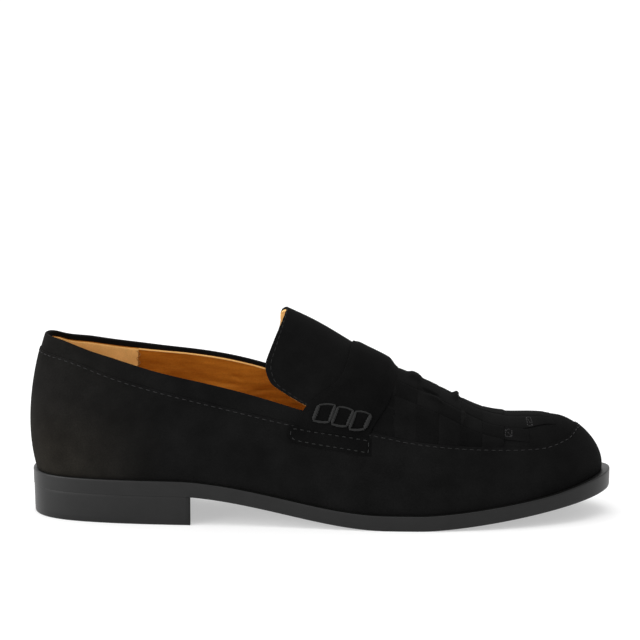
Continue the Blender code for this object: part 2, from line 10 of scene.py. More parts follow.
import bmesh
import bpy
import numpy as np
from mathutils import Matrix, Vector


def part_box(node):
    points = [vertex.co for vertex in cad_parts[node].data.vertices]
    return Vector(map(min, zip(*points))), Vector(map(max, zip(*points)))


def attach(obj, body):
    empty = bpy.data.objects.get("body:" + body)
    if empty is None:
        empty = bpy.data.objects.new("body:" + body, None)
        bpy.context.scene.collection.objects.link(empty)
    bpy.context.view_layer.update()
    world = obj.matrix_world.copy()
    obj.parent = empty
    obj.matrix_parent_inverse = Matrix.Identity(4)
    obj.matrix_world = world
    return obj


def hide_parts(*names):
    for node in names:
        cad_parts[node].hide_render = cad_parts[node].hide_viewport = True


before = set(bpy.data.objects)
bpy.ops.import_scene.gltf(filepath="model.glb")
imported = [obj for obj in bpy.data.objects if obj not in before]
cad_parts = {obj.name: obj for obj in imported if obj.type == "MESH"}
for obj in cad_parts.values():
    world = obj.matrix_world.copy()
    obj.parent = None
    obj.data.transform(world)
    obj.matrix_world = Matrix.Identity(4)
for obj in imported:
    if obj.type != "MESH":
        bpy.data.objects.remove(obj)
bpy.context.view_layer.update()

MM = 0.001  # metres in a millimetre
OUTER, INNER = -1.0, 1.0  # the two sides of the shoe, as the sign of y
WHITE = (1.0, 1.0, 1.0, 1.0)
SMALL = 1e-4  # step of turn or level that slopes are taken over
HALVINGS = 36  # steps of the search for a level
LINE_POINTS = 41  # points of a line whose length is measured
WELD_DISTANCE, SLIVER = 1e-3, 1e-4
SHOE_MIDDLE = (130.0, 0.0, 20.0)  # the faces of a panel point away from here
EDGE_SEGMENTS, EDGE_ANGLE = 3, 55.0  # edges that turn by more degrees than this are rounded


def table(columns, *rows):
    """A table's columns by name, each an array with one number for each row."""
    return dict(zip(columns.split(), np.array(rows, float).T))


# Driving sizes of the shoe.
HEEL_WELT, SIDE_WELT, TOE_WELT = 1.5, 2.4, 3.7  # how far the sole stands out past the upper
HEEL_WELT_END, TOE_WELT_START = 0.35, 0.6  # turns where it has changed from heel to side, and changes to toe
FEATHER_BACK, LAST_LENGTH = 2.3, 252.6  # back of the feather line, and its length to the tip
SOLE_TIP = FEATHER_BACK + LAST_LENGTH + TOE_WELT
SOLE_THICKNESS = 6.8
TIP_THICKENING, TIP_START = 1.4, 228.0  # how much thicker the sole is at its tip, and where that begins
HEEL_RISE = 13.0  # height of the heel block
SEAT_END = 64.0  # the sole is level over the heel up to here
BREAST_X = 73.0  # front of the heel on the outer side
BREAST_SKEW = -2.2  # how much further forward it is on the inner side
BREAST_HOLLOW = 6.5  # how far the breast curves in at its middle
HEEL_TAPER = 0.4  # how far the heel block draws in towards the floor
HEEL_SETBACK = 0.3  # how far the heel block stands back from the edge of the sole
HEEL_ROUNDING = ((0.0, 0.7), (0.12, 0.35), (0.35, 0.12), (0.7, 0.0))  # heights and insets at its foot
FITTED_HEIGHT = 11.5  # above this the block is fitted to the outsole
RIM_WIDTH = 6.0  # the outsole's faces are flat inside its rim
ROUND_START, ROUND_LENGTH = BREAST_X - 3.0, 4.0  # where its lower edge becomes round
TREAD_START, TREAD_END = 160.0, 176.0  # flat spot under the ball
TOE_SPRING, SPRING_CURVE = 11.8, 1.42  # height at the tip, and the power it rises with
THROAT_X = 147.0  # back edge of the vamp, under the saddle strap
THROAT_LAP = 2.0  # how far collar band and lining of the quarters reach in front of it
INSOLE_THICKNESS = 2.4
INSOLE_FOOT, INSOLE_LIFT = 0.1, 0.3  # above the outsole
# The edge of the insole, as distances from the feather line and shares of the height.
INSOLE_RINGS = ((-3.4, 0.0), (-2.8, 0.35), (-2.8, 0.75), (-3.0, 0.93), (-3.6, 1.0), (-9.0, 1.02))

# Layers of the upper, as depths below the outside of the lower wall, which is the outermost.
WALL_THICKNESS = 1.0
WALL_LAP = 3.0  # how far it covers the band and vamp
UNDER_LAYER = -0.45  # the outside of the collar band and of the vamp's base
BAND_THICKNESS, VAMP_THICKNESS = 1.75, 1.2
TURNED_EDGE, TURNED_EXTRA = 1.75, 0.65  # width of the suede turned in over the topline, and more at the heel
EXTRA_START, EXTRA_END = 70.0, 40.0  # it widens between these
LINING_LAYER, LINING_THICKNESS, LINING_ROUNDING = -2.2, 0.6, 0.15
RAW_EDGE, RAW_LAYER = 0.6, -2.5  # width and depth of the lining's pale cut edge, just under the turned suede
GRIP_LAYER, GRIP_THICKNESS = -2.7, 0.5
GRIP_END = 45.8  # front edge of the heel grip
GRIP_FOOT, GRIP_DROP = 0.05, 0.2  # level of its foot, and how far below the turned suede it ends
TONGUE_SUEDE, TONGUE_LINING, LINING_INSET = 1.3, 0.8, 0.2  # thicknesses, and how far the lining stands back
STRAP_THICKNESS, STRAP_LAYER = 1.6, 1.7
TAB_THICKNESS, TAB_LAYER = 0.6, 0.55
TAB_SINK, STRIP_SINK, SINK_LENGTH = 0.5, 0.35, 3.0  # how the front ends of tabs and long strips lie down

# Woven vamp. Strips across the foot are counted from the saddle forward. The lines between the strips along
# the foot are places on the arc over the vamp, from its crest towards the outer side, and drift that way
# near the toe.
WEAVE_START = 163.0
CROSS_PITCH = 9.6
CROSS_STRIPS = 5
STRIP_THICKNESS = 0.45
STRIP_GAP = 0.05  # between neighbouring strips
STRIP_PILLOW = 0.12  # how much fuller a strip is in its middle than at its edges
STRIP_SLOPE = 2.8  # length over which a strip climbs or dives
STRIP_HIDDEN = 7.0  # how far the long strips reach back under the strap
LINE_CLEAR = 0.8  # how far the lines between them keep from the wall's edge
SEAM_DIVE, DIVE_WIDTH = 0.7, 2.6  # how far and over what width the strips sink to go under the wall
STRAP_SHADE, STRAP_CLEAR = 160.0, 168.0  # the strips rise to full height between these, in front of the strap
LONG_LINES = table(
    "arc drift",
    (-24.5, 0.6), (-13.5, 0.9), (0.0, 1.0), (14.0, 0.55), (24.4, 0.2),
)
DRIFT, DRIFT_START, DRIFT_END = 5.8, 184.0, 216.0
# Edges of strips that have curled up, or been pressed down: place, half sizes and height.
CURLS = table(
    "x arc half_x half_arc height",
    (171.2, -1.0, 2.7, 7.0, 1.3),
    (189.3, -1.0, 1.2, 7.0, 1.8),
    (180.0, 15.5, 3.4, 1.7, 0.9),
    (178.2, 12.4, 3.2, 1.6, -0.9),
    (192.8, 19.5, 0.9, 5.0, 1.2),
    (165.5, 33.5, 4.5, 1.2, 0.5),
)
# The long strips from the inner side to the outer: their front ends, and how much they narrow there.
LONG_STRIPS = table(
    "end taper",
    (205.0, 0.0), (213.0, 0.0), (229.0, 0.0), (229.5, 5.5), (220.5, 0.0), (211.0, 0.0),
)
TAPER_LENGTH = 12.0
# Stitched boxes that hold three of the long strips: the strip, counted from 0, the place and the length.
TACKS = table(
    "strip x length",
    (1, 207.0, 2.6),
    (3, 221.2, 1.7),
    (4, 212.8, 2.6),
)
TACK_MARGIN, TACK_PITCH, TACK_STITCH, TACK_RADIUS = 1.8, 1.9, 1.5, 0.2

# The feather line, where the upper meets the sole, seen from above.
OUTLINE = table(
    "share half_width centre",
    (0.00, 0.0, 0.0),
    (0.03, 17.6, 0.0),
    (0.10, 25.4, -0.2),
    (0.20, 28.6, -0.8),
    (0.32, 28.4, -2.8),
    (0.44, 29.2, -4.2),
    (0.56, 33.8, -3.6),
    (0.66, 38.4, -0.8),
    (0.74, 40.0, 2.0),
    (0.82, 37.8, 3.8),
    (0.90, 30.8, 4.3),
    (0.96, 20.6, 4.4),
    (1.00, 0.0, 5.0),
)

# The top of the last seen from the side: the ridge of the vamp and instep, and the cone behind it.
CREST = table(
    "x y z",
    (21.0, 0.0, 104.0),
    (60.0, 0.0, 106.0),
    (90.0, 1.0, 103.0),
    (114.0, 2.0, 92.4),
    (125.5, 2.5, 86.9),
    (142.0, 3.0, 77.1),
    (167.0, 3.5, 62.5),
    (179.0, 3.4, 57.0),
    (190.0, 3.2, 51.2),
    (200.0, 3.3, 46.6),
    (208.0, 3.4, 44.8),
    (222.0, 3.6, 44.7),
    (233.0, 3.6, 44.5),
)

# The fullness of each section: how far the wall swells out, how upright it stands and how square its
# shoulder is.
SECTIONS = table(
    "share swell upright shoulder",
    (0.00, 9.8, 0.40, 0.52),
    (0.10, 6.6, 0.43, 0.63),
    (0.20, 5.0, 0.40, 0.70),
    (0.35, 4.5, 0.42, 0.66),
    (0.50, 4.0, 0.46, 0.60),
    (0.65, 3.0, 0.52, 0.58),
    (0.80, 2.5, 0.56, 0.60),
    (0.92, 1.8, 0.53, 0.56),
    (1.00, 2.2, 0.47, 0.40),
)
LEAN_BACK, LEAN_FRONT = 100.0, 205.0  # sections stand square to the floor between these
CREST_BACK, CREST_FRONT = 21.0, 233.0  # ends of the crest, which the end sections lean to

# Lines on the outer side of the upper, seen from the side. The inner side is lifted by INNER_LIFT.
TOPLINE = table(
    "x z",
    (4.0, 80.5), (12.0, 80.4), (20.4, 78.5), (28.0, 76.2), (36.3, 74.0), (46.9, 71.0), (57.4, 68.1),
    (73.3, 64.6), (94.4, 59.8), (113.0, 54.6), (121.0, 52.3), (THROAT_X, 49.0),
)
WALL_EDGE = table(
    "x z",
    (3.0, 74.0), (18.9, 71.8), (32.4, 67.5), (51.4, 61.9), (75.5, 56.1), (100.6, 50.2), (113.9, 47.2),
    (133.0, 44.6), (154.8, 42.0), (167.6, 39.4), (185.1, 36.8), (204.5, 34.9), (223.9, 34.4),
    (231.7, 34.9), (237.3, 36.3), (241.4, 38.0), (243.7, 40.0),
)
INNER_LIFT = table(
    "x z",
    (6.0, 0.0), (13.0, -2.1), (24.0, -1.6), (36.0, -0.5), (48.0, 1.2), (62.0, 3.2), (78.0, 4.9),
    (104.0, 6.0), (121.0, 5.4), (150.0, 3.0), (185.0, 1.0), (215.0, 0.0),
)

# The free edge of the tongue, from beside the strap's end to the middle of its top.
TONGUE_EDGE = table(
    "share x z inner_shift",
    (0.00, 123.5, 54.2, 0.0),
    (0.10, 117.3, 57.5, 1.6),
    (0.18, 112.4, 60.5, 2.2),
    (0.25, 108.9, 63.0, 2.4),
    (0.33, 106.8, 66.8, 2.6),
    (0.42, 106.0, 70.8, 2.6),
    (0.55, 107.7, 76.6, 2.2),
    (0.68, 110.2, 82.6, 1.0),
    (0.84, 113.0, 88.6, -1.3),
    (1.00, 114.6, 92.2, 0.0),
)

TONGUE_ROOT, TONGUE_TUCK = 6.0, 2.0  # how far it reaches in front of the throat, and down behind the topline
TONGUE_POINTS = 61

# The saddle strap: its back and front edges from the middle of the instep down to its stitched end.
STRAP = table(
    "share back_x front_x",
    (0.00, 143.6, 160.8),
    (0.35, 141.5, 161.0),
    (0.60, 136.0, 160.0),
    (0.80, 125.4, 155.8),
    (0.90, 121.6, 153.2),
    (1.00, 119.6, 151.4),
)
STRAP_ROWS, STRAP_COLUMNS = 61, 25
STRAP_TUCK = 0.7  # the strap's end reaches this far down over the tab
STRAP_REACH = 3.0  # at the crest its front edge lies on the vamp this much further forward
STRAP_LIFT, STRAP_FALL, SIDE_FALL = 1.0, 2.2, 0.8  # it swells at the crest and falls to its front edge
LIFT_START, LIFT_END = 0.35, 0.7  # shares between which that fades out
SWELL_END, FALL_START = 0.7, 0.73  # as shares of its width
THIN_BACK, THIN_WIDTH = 0.9, 0.14  # its back edge is thinned, over this share of its width
END_PRESS, PRESS_START = 0.6, 0.85  # its stitched end is pressed down

# The tab below each end of the strap, with a round back end.
TAB_BACK, TAB_FRONT = 116.0, 153.0
TAB_DROP_BACK, TAB_DROP_FRONT = 0.7, 2.3  # how far below the wall's edge it starts, at either end
TAB_HEIGHT = 7.6
TAB_TIP_ANGLE = 0.06  # where the round end starts, so that it has no point

# The thick thread sewn in three loops through each end of the strap: the two bars of each, by their ends'
# places along the shoe and heights above the wall's edge.
THREAD_BARS = table(
    "low_x low_rise high_x high_rise radius",
    (127.3, 2.4, 129.7, 8.8, 0.85),
    (134.3, 2.4, 136.8, 9.3, 0.72),
    (135.4, 1.7, 138.0, 8.7, 0.72),
    (142.0, 1.3, 144.7, 7.6, 0.72),
    (143.1, 0.2, 145.7, 7.4, 0.72),
    (149.6, 0.9, 152.4, 6.8, 0.90),
)
THREAD_LIFT = 0.25  # of its middle over the strap
BAR_POWER, BAR_TIP = 5, 0.02  # how bluntly the bars end
TOP_LINK, LOW_LINK = 0.40, 0.5  # radii of the thread between the bars of a loop
TOP_BOW, LOW_BOW = 0.5, 0.4  # how far it bows out
LINK_SINK, LINK_TWIST = 0.3, 0.6
TWIST_DEPTH, TWIST_STEP = 0.14, 0.55  # lobes of twisted thread, and the angle they turn by at each point

# Soft troughs (negative) and ridges of the worn-in suede on the wall, on both sides: their middle, half
# length, half width, slope seen from the side in degrees, and height.
CREASES = table(
    "x z half_length half_width slope height",
    (62.0, 40.0, 16.0, 5.0, 62.0, -0.35),
    (70.0, 38.0, 15.0, 5.0, 66.0, 0.25),
    (112.0, 33.0, 13.0, 6.0, 35.0, -0.30),
    (166.0, 26.0, 10.0, 4.5, 68.0, -0.35),
    (174.0, 25.0, 10.0, 4.0, 72.0, 0.25),
    (181.0, 24.0, 9.0, 4.0, 76.0, -0.30),
    (30.0, 50.0, 14.0, 6.0, 80.0, -0.25),
)

# Creases of the lining on the inner side, in front of the heel grip. A positive height is away from the foot.
LINING_CREASES = table(
    "x z half_length half_width slope height",
    (88.5, 53.3, 5.0, 0.9, -4.0, 0.5),
    (100.5, 49.8, 5.0, 0.9, 12.0, 0.5),
    (99.0, 48.4, 6.0, 0.8, 14.0, -0.35),
    (91.5, 56.3, 3.5, 0.9, -25.0, 0.4),
    (84.0, 51.5, 8.0, 1.1, -14.0, -0.35),
    (78.0, 55.0, 9.0, 1.3, -16.0, 0.35),
    (68.0, 58.0, 9.0, 1.3, -12.0, -0.3),
)

SEAM_PITCH, SEAM_STITCH, SEAM_DEPTH = 3.3, 2.0, 1.1  # the wall's top seam, and how far below the edge
TAB_PITCH, TAB_STITCH, TAB_MARGIN = 3.1, 1.8, 1.3
EDGE_PITCH, EDGE_STITCH = 3.0, 2.1  # round the free edge of the tongue
EDGE_MARGIN, EDGE_NARROWING, NARROW_START = 2.3, 1.9, 0.45  # from that edge, and how it narrows to the top
EDGE_RADIUS, THREAD_RADIUS = 0.13, 0.19  # of those stitches, and of others
EDGE_STEP = 0.5  # to the line further in that gives their outward direction
STITCH_SINK = 0.1
PUCKER, PUCKER_SINK, PUCKER_WIDTH = 0.10, 0.16, 0.9  # how the suede is drawn in along the wall's seam
# The zig-zag along the heel grip: its ends as shares of the height, its steps and its reach.
ZIGZAG_SHARES, ZIGZAG_STEPS = (0.25, 0.98), 19
ZIGZAG_BACK, ZIGZAG_FRONT, ZIGZAG_RADIUS = 0.9, 1.2, 0.2

# Painted light: the suede is made lighter and browner at the back of the heel, most of all low down, for the
# light from the left and from the floor below.
PAINTED_LIGHT_BACK, PAINTED_LIGHT_LOW = (5.0, 70.0), (25.0, 60.0)  # from full painted light to none, in x and in z
PAINTED_LIGHT_TONE, PAINTED_LOW_LIGHT_TONE = (1.55, 1.48, 1.38), (1.8, 1.7, 1.5)

# The camera: its direction from the shoe, its distance and the place it looks at in the shoe's own frame.
AZIMUTH, ELEVATION = 2.0, 10.5
DISTANCE = 2000.0
LOOK_X, LOOK_Z = 129.09, 86.36
LENS, SENSOR = 252.8, 36.0
FAR_CLIP = 50.0  # in metres

# The studio: a light table under the shoe, and soft light from all round that is stronger on the left.
FLOOR_GLOW = 0.44
ROOM_LEFT, ROOM_RIGHT = 1.2, 0.65
FLOOR_SIZE = 12.0  # in metres, like the places and sizes of the lights
LIGHT_TARGET = (0.0, 0.0, 0.03)
LIGHTS = (
    ("key", (-1.3, -1.4, 0.6), 1.0, 11.0),
    ("left", (-1.6, -0.5, 0.15), 1.0, 13.0),
    ("back", (-0.3, 1.1, 1.5), 1.2, 7.0),
    ("top", (0.2, -0.6, 1.8), 1.2, 7.0),
)


def spline(rows, column, flat_ends=False, scale=np.asarray):
    """A smooth curve of a table's column over its first one, which may be put on another scale.

    Its ends have no slope, or else no curvature.
    """
    knots, values = scale(next(iter(rows.values()))), rows[column]
    step = np.diff(knots)
    rise = np.diff(values) / step
    count = len(knots)
    system = np.zeros((count, count))
    bend = np.zeros(count)
    for i in range(1, count - 1):
        system[i, i - 1 : i + 2] = step[i - 1], 2 * (step[i - 1] + step[i]), step[i]
        bend[i] = 6 * (rise[i] - rise[i - 1])
    system[0, 0] = system[-1, -1] = 1
    if flat_ends:
        system[0, :2] = 2 * step[0], step[0]
        system[-1, -2:] = step[-1], 2 * step[-1]
        bend[0], bend[-1] = 6 * rise[0], -6 * rise[-1]
    curve = np.linalg.solve(system, bend)

    def at(where):
        where = np.clip(where, knots[0], knots[-1])
        i = np.clip(np.searchsorted(knots, where) - 1, 0, count - 2)
        before, after = where - knots[i], knots[i + 1] - where
        bent = (curve[i] * after**3 + curve[i + 1] * before**3) / (6 * step[i])
        low = (values[i] / step[i] - curve[i] * step[i] / 6) * after
        high = (values[i + 1] / step[i] - curve[i + 1] * step[i] / 6) * before
        return bent + low + high

    return at


def turn_of(share):
    """How far round from heel to toe a share of the length is, so that the two ends come out round."""
    return np.arccos(np.clip(1 - 2 * np.asarray(share, float), -1, 1)) / math.pi


def share_of(turn):
    """The inverse of turn_of."""
    return (1 - np.cos(math.pi * np.asarray(turn, float))) / 2


def turn_at(x):
    """The turn of the section that starts at x on the feather line."""
    return turn_of((np.asarray(x, float) - FEATHER_BACK) / LAST_LENGTH)


def smooth(t):
    """Rises from 0 to 1 with no slope at either end."""
    t = np.clip(t, 0, 1)
    return t * t * (3 - 2 * t)


def unit(vectors):
    """Vectors made 1 long."""
    return vectors / np.linalg.norm(vectors, axis=-1, keepdims=True)


def run_along(points):
    """Lengths along lines of points, each from 0 at its first point."""
    steps = np.linalg.norm(np.diff(points, axis=-2), axis=-1)
    return np.concatenate([np.zeros((*steps.shape[:-1], 1)), np.cumsum(steps, axis=-1)], axis=-1)


half_width = spline(OUTLINE, "half_width", scale=turn_of)
centre = spline(OUTLINE, "centre", True, turn_of)
swell, upright, shoulder = (
    spline(SECTIONS, name, True, turn_of) for name in ("swell", "upright", "shoulder")
)
crest_y, crest_z = spline(CREST, "y"), spline(CREST, "z")
topline_z, wall_edge_z = spline(TOPLINE, "z"), spline(WALL_EDGE, "z")
inner_lift = spline(INNER_LIFT, "z", flat_ends=True)
tongue_x, tongue_z, tongue_shift = (spline(TONGUE_EDGE, name) for name in ("x", "z", "inner_shift"))
strap_back_x, strap_front_x = spline(STRAP, "back_x"), spline(STRAP, "front_x")


def sole_bottom(x):
    """Height of the underside of the outsole: heel seat, arch, flat tread and toe spring."""
    arch = HEEL_RISE * smooth((TREAD_START - x) / (TREAD_START - SEAT_END))
    spring = TOE_SPRING * np.clip((x - TREAD_END) / (SOLE_TIP - TREAD_END), 0, 1) ** SPRING_CURVE
    return arch + spring


def sole_top(x):
    thickening = TIP_THICKENING * smooth((x - TIP_START) / (SOLE_TIP - TIP_START))
    return sole_bottom(x) + SOLE_THICKNESS + thickening


def feather(turn, side):
    """A point of the feather line seen from above, as x and y."""
    x = FEATHER_BACK + LAST_LENGTH * share_of(turn)
    return x, centre(turn) + side * half_width(turn)


def feather_offset(turn, side, distance):
    """A point outside the feather line, or inside it where the distance is negative."""
    x, y = feather(turn, side)
    before, after = (feather(np.clip(turn + step, 0, 1), side) for step in (-SMALL, SMALL))
    run, across = after[0] - before[0], after[1] - before[1]
    length = np.hypot(run, across)
    at_end = (turn < SMALL) | (turn > 1 - SMALL)
    out_x = np.where(at_end, np.sign(turn - 0.5), -side * across / length)
    out_y = np.where(at_end, 0.0, side * run / length)
    return x + distance * out_x, y + distance * out_y


def welt(turn):
    """How far the sole stands out past the feather line."""
    heel_part = smooth(1 - turn / HEEL_WELT_END)
    toe_part = smooth((turn - TOE_WELT_START) / (1 - TOE_WELT_START))
    return SIDE_WELT + (HEEL_WELT - SIDE_WELT) * heel_part + (TOE_WELT - SIDE_WELT) * toe_part


def crest_x(x):
    """Where the section that starts at x on the feather line meets the crest."""
    back, front = LEAN_BACK - FEATHER_BACK, FEATHER_BACK + LAST_LENGTH - LEAN_FRONT
    behind, ahead = np.clip(LEAN_BACK - x, 0, None), np.clip(x - LEAN_FRONT, 0, None)
    lag_back = (back - (LEAN_BACK - CREST_BACK)) * (behind / back) ** 2
    lag_front = (front - (CREST_FRONT - LEAN_FRONT)) * (ahead / front) ** 2
    return x + lag_back - lag_front


def last_point(turn, level, side):
    """A point on the outside of the shoe. Level runs from 0 at the feather line to 1 at the crest."""
    foot_x, foot_y = feather(turn, side)
    foot_z = sole_top(foot_x)
    top_x = crest_x(foot_x)
    top_y, top_z = crest_y(top_x), crest_z(top_x)
    slope = crest_z(top_x) - crest_z(top_x - 1.0)
    reach_x, reach_y = foot_x - top_x, foot_y - top_y
    reach = np.maximum(np.hypot(reach_x, reach_y), 1e-6)
    out = swell(turn) / reach
    wall_x, wall_y = foot_x + reach_x * out, foot_y + reach_y * out
    wall_z = foot_z + upright(turn) * (top_z - foot_z)
    full = shoulder(turn)
    arch_x, arch_y = top_x + full * reach_x, top_y + full * reach_y
    arch_z = top_z + full * reach_x * slope
    a, b, c, d = (1 - level) ** 3, 3 * (1 - level) ** 2 * level, 3 * (1 - level) * level**2, level**3
    return np.stack(
        [
            a * foot_x + b * wall_x + c * arch_x + d * top_x,
            a * foot_y + b * wall_y + c * arch_y + d * top_y,
            a * foot_z + b * wall_z + c * arch_z + d * top_z,
        ],
        axis=-1,
    )


def last_normal(turn, level, side):
    """The outward direction at a point of the shoe."""
    turn, level = np.clip(turn, SMALL, 1 - SMALL), np.clip(level, SMALL, 1 - SMALL)
    along = last_point(turn + SMALL, level, side) - last_point(turn - SMALL, level, side)
    up = last_point(turn, level + SMALL, side) - last_point(turn, level - SMALL, side)
    return unit(np.cross(along, up) * -side)


def side_lift(x, side):
    """How far the lines of this side are lifted."""
    return inner_lift(x) if side == INNER else 0.0


def level_on(line_z, turn, side, offset=0.0):
    """The level at which the section at this turn crosses a line, or runs this far above it."""
    turn = np.asarray(turn, float)
    low, high = np.zeros(turn.shape), np.ones(turn.shape)
    for _ in range(HALVINGS):
        middle = (low + high) / 2
        point = last_point(turn, middle, side)
        x, z = point[..., 0], point[..., 2]
        below = z < line_z(x) + side_lift(x, side) + offset
        low, high = np.where(below, middle, low), np.where(below, high, middle)
    return low


def same_level(level, turn, side):
    return np.full(turn.shape, level)


def level_at_height(turn, side, height):
    """The level at which the section at this turn reaches a height."""
    return level_on(lambda x: height - side_lift(x, side), turn, side)


def lining_top(turn, side, offset=0.0):
    """The level at which the suede turned in over the topline ends and the lining starts, or this far off."""
    x = feather(turn, side)[0]
    turned = TURNED_EDGE + TURNED_EXTRA * smooth((EXTRA_START - x) / (EXTRA_START - EXTRA_END))
    return level_on(topline_z, turn, side, offset=offset - turned)


def levels_by_length(turn, side, start, end, shares):
    """Levels at these shares of the surface length between two levels, for each section of an array."""
    levels = start[:, None] + (end - start)[:, None] * np.linspace(0, 1, LINE_POINTS)
    lengths = run_along(last_point(turn[:, None], levels, side))
    return np.array([np.interp(shares * run[-1], run, row) for run, row in zip(lengths, levels)])


# The world's frame has the middle of the shoe's box at its origin.
outsole_low = np.array(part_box("outsole")[0]) / MM
edge_turns = np.linspace(0, 1, 401)
SHIFT = np.array(
    [
        outsole_low[0] - (FEATHER_BACK - HEEL_WELT),
        outsole_low[1] - np.min(feather_offset(edge_turns, OUTER, welt(edge_turns))[1]),
        0.0,
    ]
)


def add_piece(name, bm, material, node):
    """Writes a bmesh in millimetres as one piece of the shoe that stands for a node of the part."""
    bmesh.ops.translate(bm, vec=SHIFT, verts=bm.verts)
    bmesh.ops.scale(bm, vec=(MM, MM, MM), verts=bm.verts)
    mesh = bpy.data.meshes.new(name)
    bm.to_mesh(mesh)
    bm.free()
    mesh.shade_smooth()
    mesh.materials.append(material)
    piece = bpy.data.objects.new(name, mesh)
    bpy.context.scene.collection.objects.link(piece)
    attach(piece, "root")
    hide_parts(node)
    return piece


def new_bmesh(places, faces):
    """A bmesh of points, and of faces given by the numbers of their points."""
    mesh = bpy.data.meshes.new("faces")
    mesh.from_pydata(places, [], faces)
    bm = bmesh.new()
    bm.from_mesh(mesh)
    bpy.data.meshes.remove(mesh)
    return bm


def weld(bm):
    """Joins points that meet, and takes out the slivers this leaves."""
    bmesh.ops.remove_doubles(bm, verts=bm.verts, dist=WELD_DISTANCE)
    bmesh.ops.dissolve_degenerate(bm, edges=bm.edges, dist=SLIVER)


def ring_loft(lofts, capped=True):
    """Lofts, each an array of closed rings by points, as one bmesh. Uncapped ones end in a line."""
    places, faces = [], []
    for loft in lofts:
        count, size = loft.shape[:2]
        rings = len(places) + np.arange(count * size).reshape(count, size)
        beside = np.roll(rings, -1, axis=1)
        places += loft.reshape(-1, 3).tolist()
        quads = np.stack([rings[:-1], beside[:-1], beside[1:], rings[1:]], axis=-1)
        faces += quads.reshape(-1, 4).tolist()
        if capped:
            faces += [rings[0, ::-1].tolist(), rings[-1].tolist()]
    bm = new_bmesh(places, faces)
    if not capped:
        weld(bm)
    bmesh.ops.recalc_face_normals(bm, faces=bm.faces)
    return bm


def open_surface(grids, reliefs):
    """Welds arrays of points, rows by columns, to one open surface whose faces point outwards.

    A relief, one number for each point, is kept with the points.
    """
    places, faces = [], []
    for grid in grids:
        rows, columns = grid.shape[:2]
        corner = len(places) + (np.arange(rows - 1)[:, None] * columns + np.arange(columns - 1)).ravel()
        places += grid.reshape(-1, 3).tolist()
        faces += np.stack([corner, corner + 1, corner + columns + 1, corner + columns], axis=1).tolist()
    bm = new_bmesh(places, faces)
    height = bm.verts.layers.float.new("relief")
    if reliefs:
        for vert, value in zip(bm.verts, np.concatenate([relief.ravel() for relief in reliefs])):
            vert[height] = value
    weld(bm)
    bmesh.ops.recalc_face_normals(bm, faces=bm.faces)
    bm.normal_update()
    middle = Vector(SHOE_MIDDLE)
    if sum(face.normal.dot(face.calc_center_median() - middle) for face in bm.faces) < 0:
        bmesh.ops.reverse_faces(bm, faces=bm.faces)
        bm.normal_update()
    return bm


def panel(name, grids, material, node, layer, thickness, edge, reliefs=None):
    """A sheet of leather with rounded edges. Its outside lies at this layer over the last's surface."""
    bm = open_surface(grids, reliefs)
    height = bm.verts.layers.float["relief"]
    for vert in bm.verts:
        vert.co += vert.normal * (layer + vert[height])
    bm.verts.layers.float.remove(height)
    piece = add_piece(name, bm, material, node)
    wall = piece.modifiers.new("thickness", "SOLIDIFY")
    wall.thickness = thickness * MM
    wall.offset = -1.0
    round_edge = piece.modifiers.new("rounded_edge", "BEVEL")
    round_edge.width = edge * MM
    round_edge.segments = EDGE_SEGMENTS
    round_edge.limit_method = "ANGLE"
    round_edge.angle_limit = math.radians(EDGE_ANGLE)


def both_halves(turns, low, high, shares):
    """The outer and inner grids of a panel between two levels, each a function of turn and side."""
    grids = []
    for side in (OUTER, INNER):
        levels = levels_by_length(turns, side, low(turns, side), high(turns, side), shares)
        grids.append(last_point(turns[:, None], levels, side))
    return grids


def crowded(count, power):
    """Shares from 0 to 1 that crowd together towards 1."""
    return 1 - (1 - np.linspace(0, 1, count)) ** power


def crease_relief(grid, creases):
    """How far hand-placed creases move each point of a panel in or out."""
    relief = np.zeros(grid.shape[:2])
    for x, z, half_length, half_across, slope, height in zip(*creases.values()):
        cos, sin = math.cos(math.radians(slope)), math.sin(math.radians(slope))
        run, rise = grid[..., 0] - x, grid[..., 2] - z
        along, across = (run * cos + rise * sin) / half_length, (rise * cos - run * sin) / half_across
        relief += height * np.exp(-(along**2) - across**2)
    return relief


def set_sockets(tree, node, sockets):
    """Sets a node's inputs to values, or links them to the outputs of other nodes."""
    for socket, value in sockets.items():
        if isinstance(value, bpy.types.NodeSocket):
            tree.links.new(value, node.inputs[socket])
        else:
            node.inputs[socket].default_value = value


def add_node(tree, kind, sockets, **settings):
    """A new shader node with these settings and sockets."""
    node = tree.nodes.new("ShaderNode" + kind)
    for setting, value in settings.items():
        setattr(node, setting, value)
    set_sockets(tree, node, sockets)
    return node


# Materials.


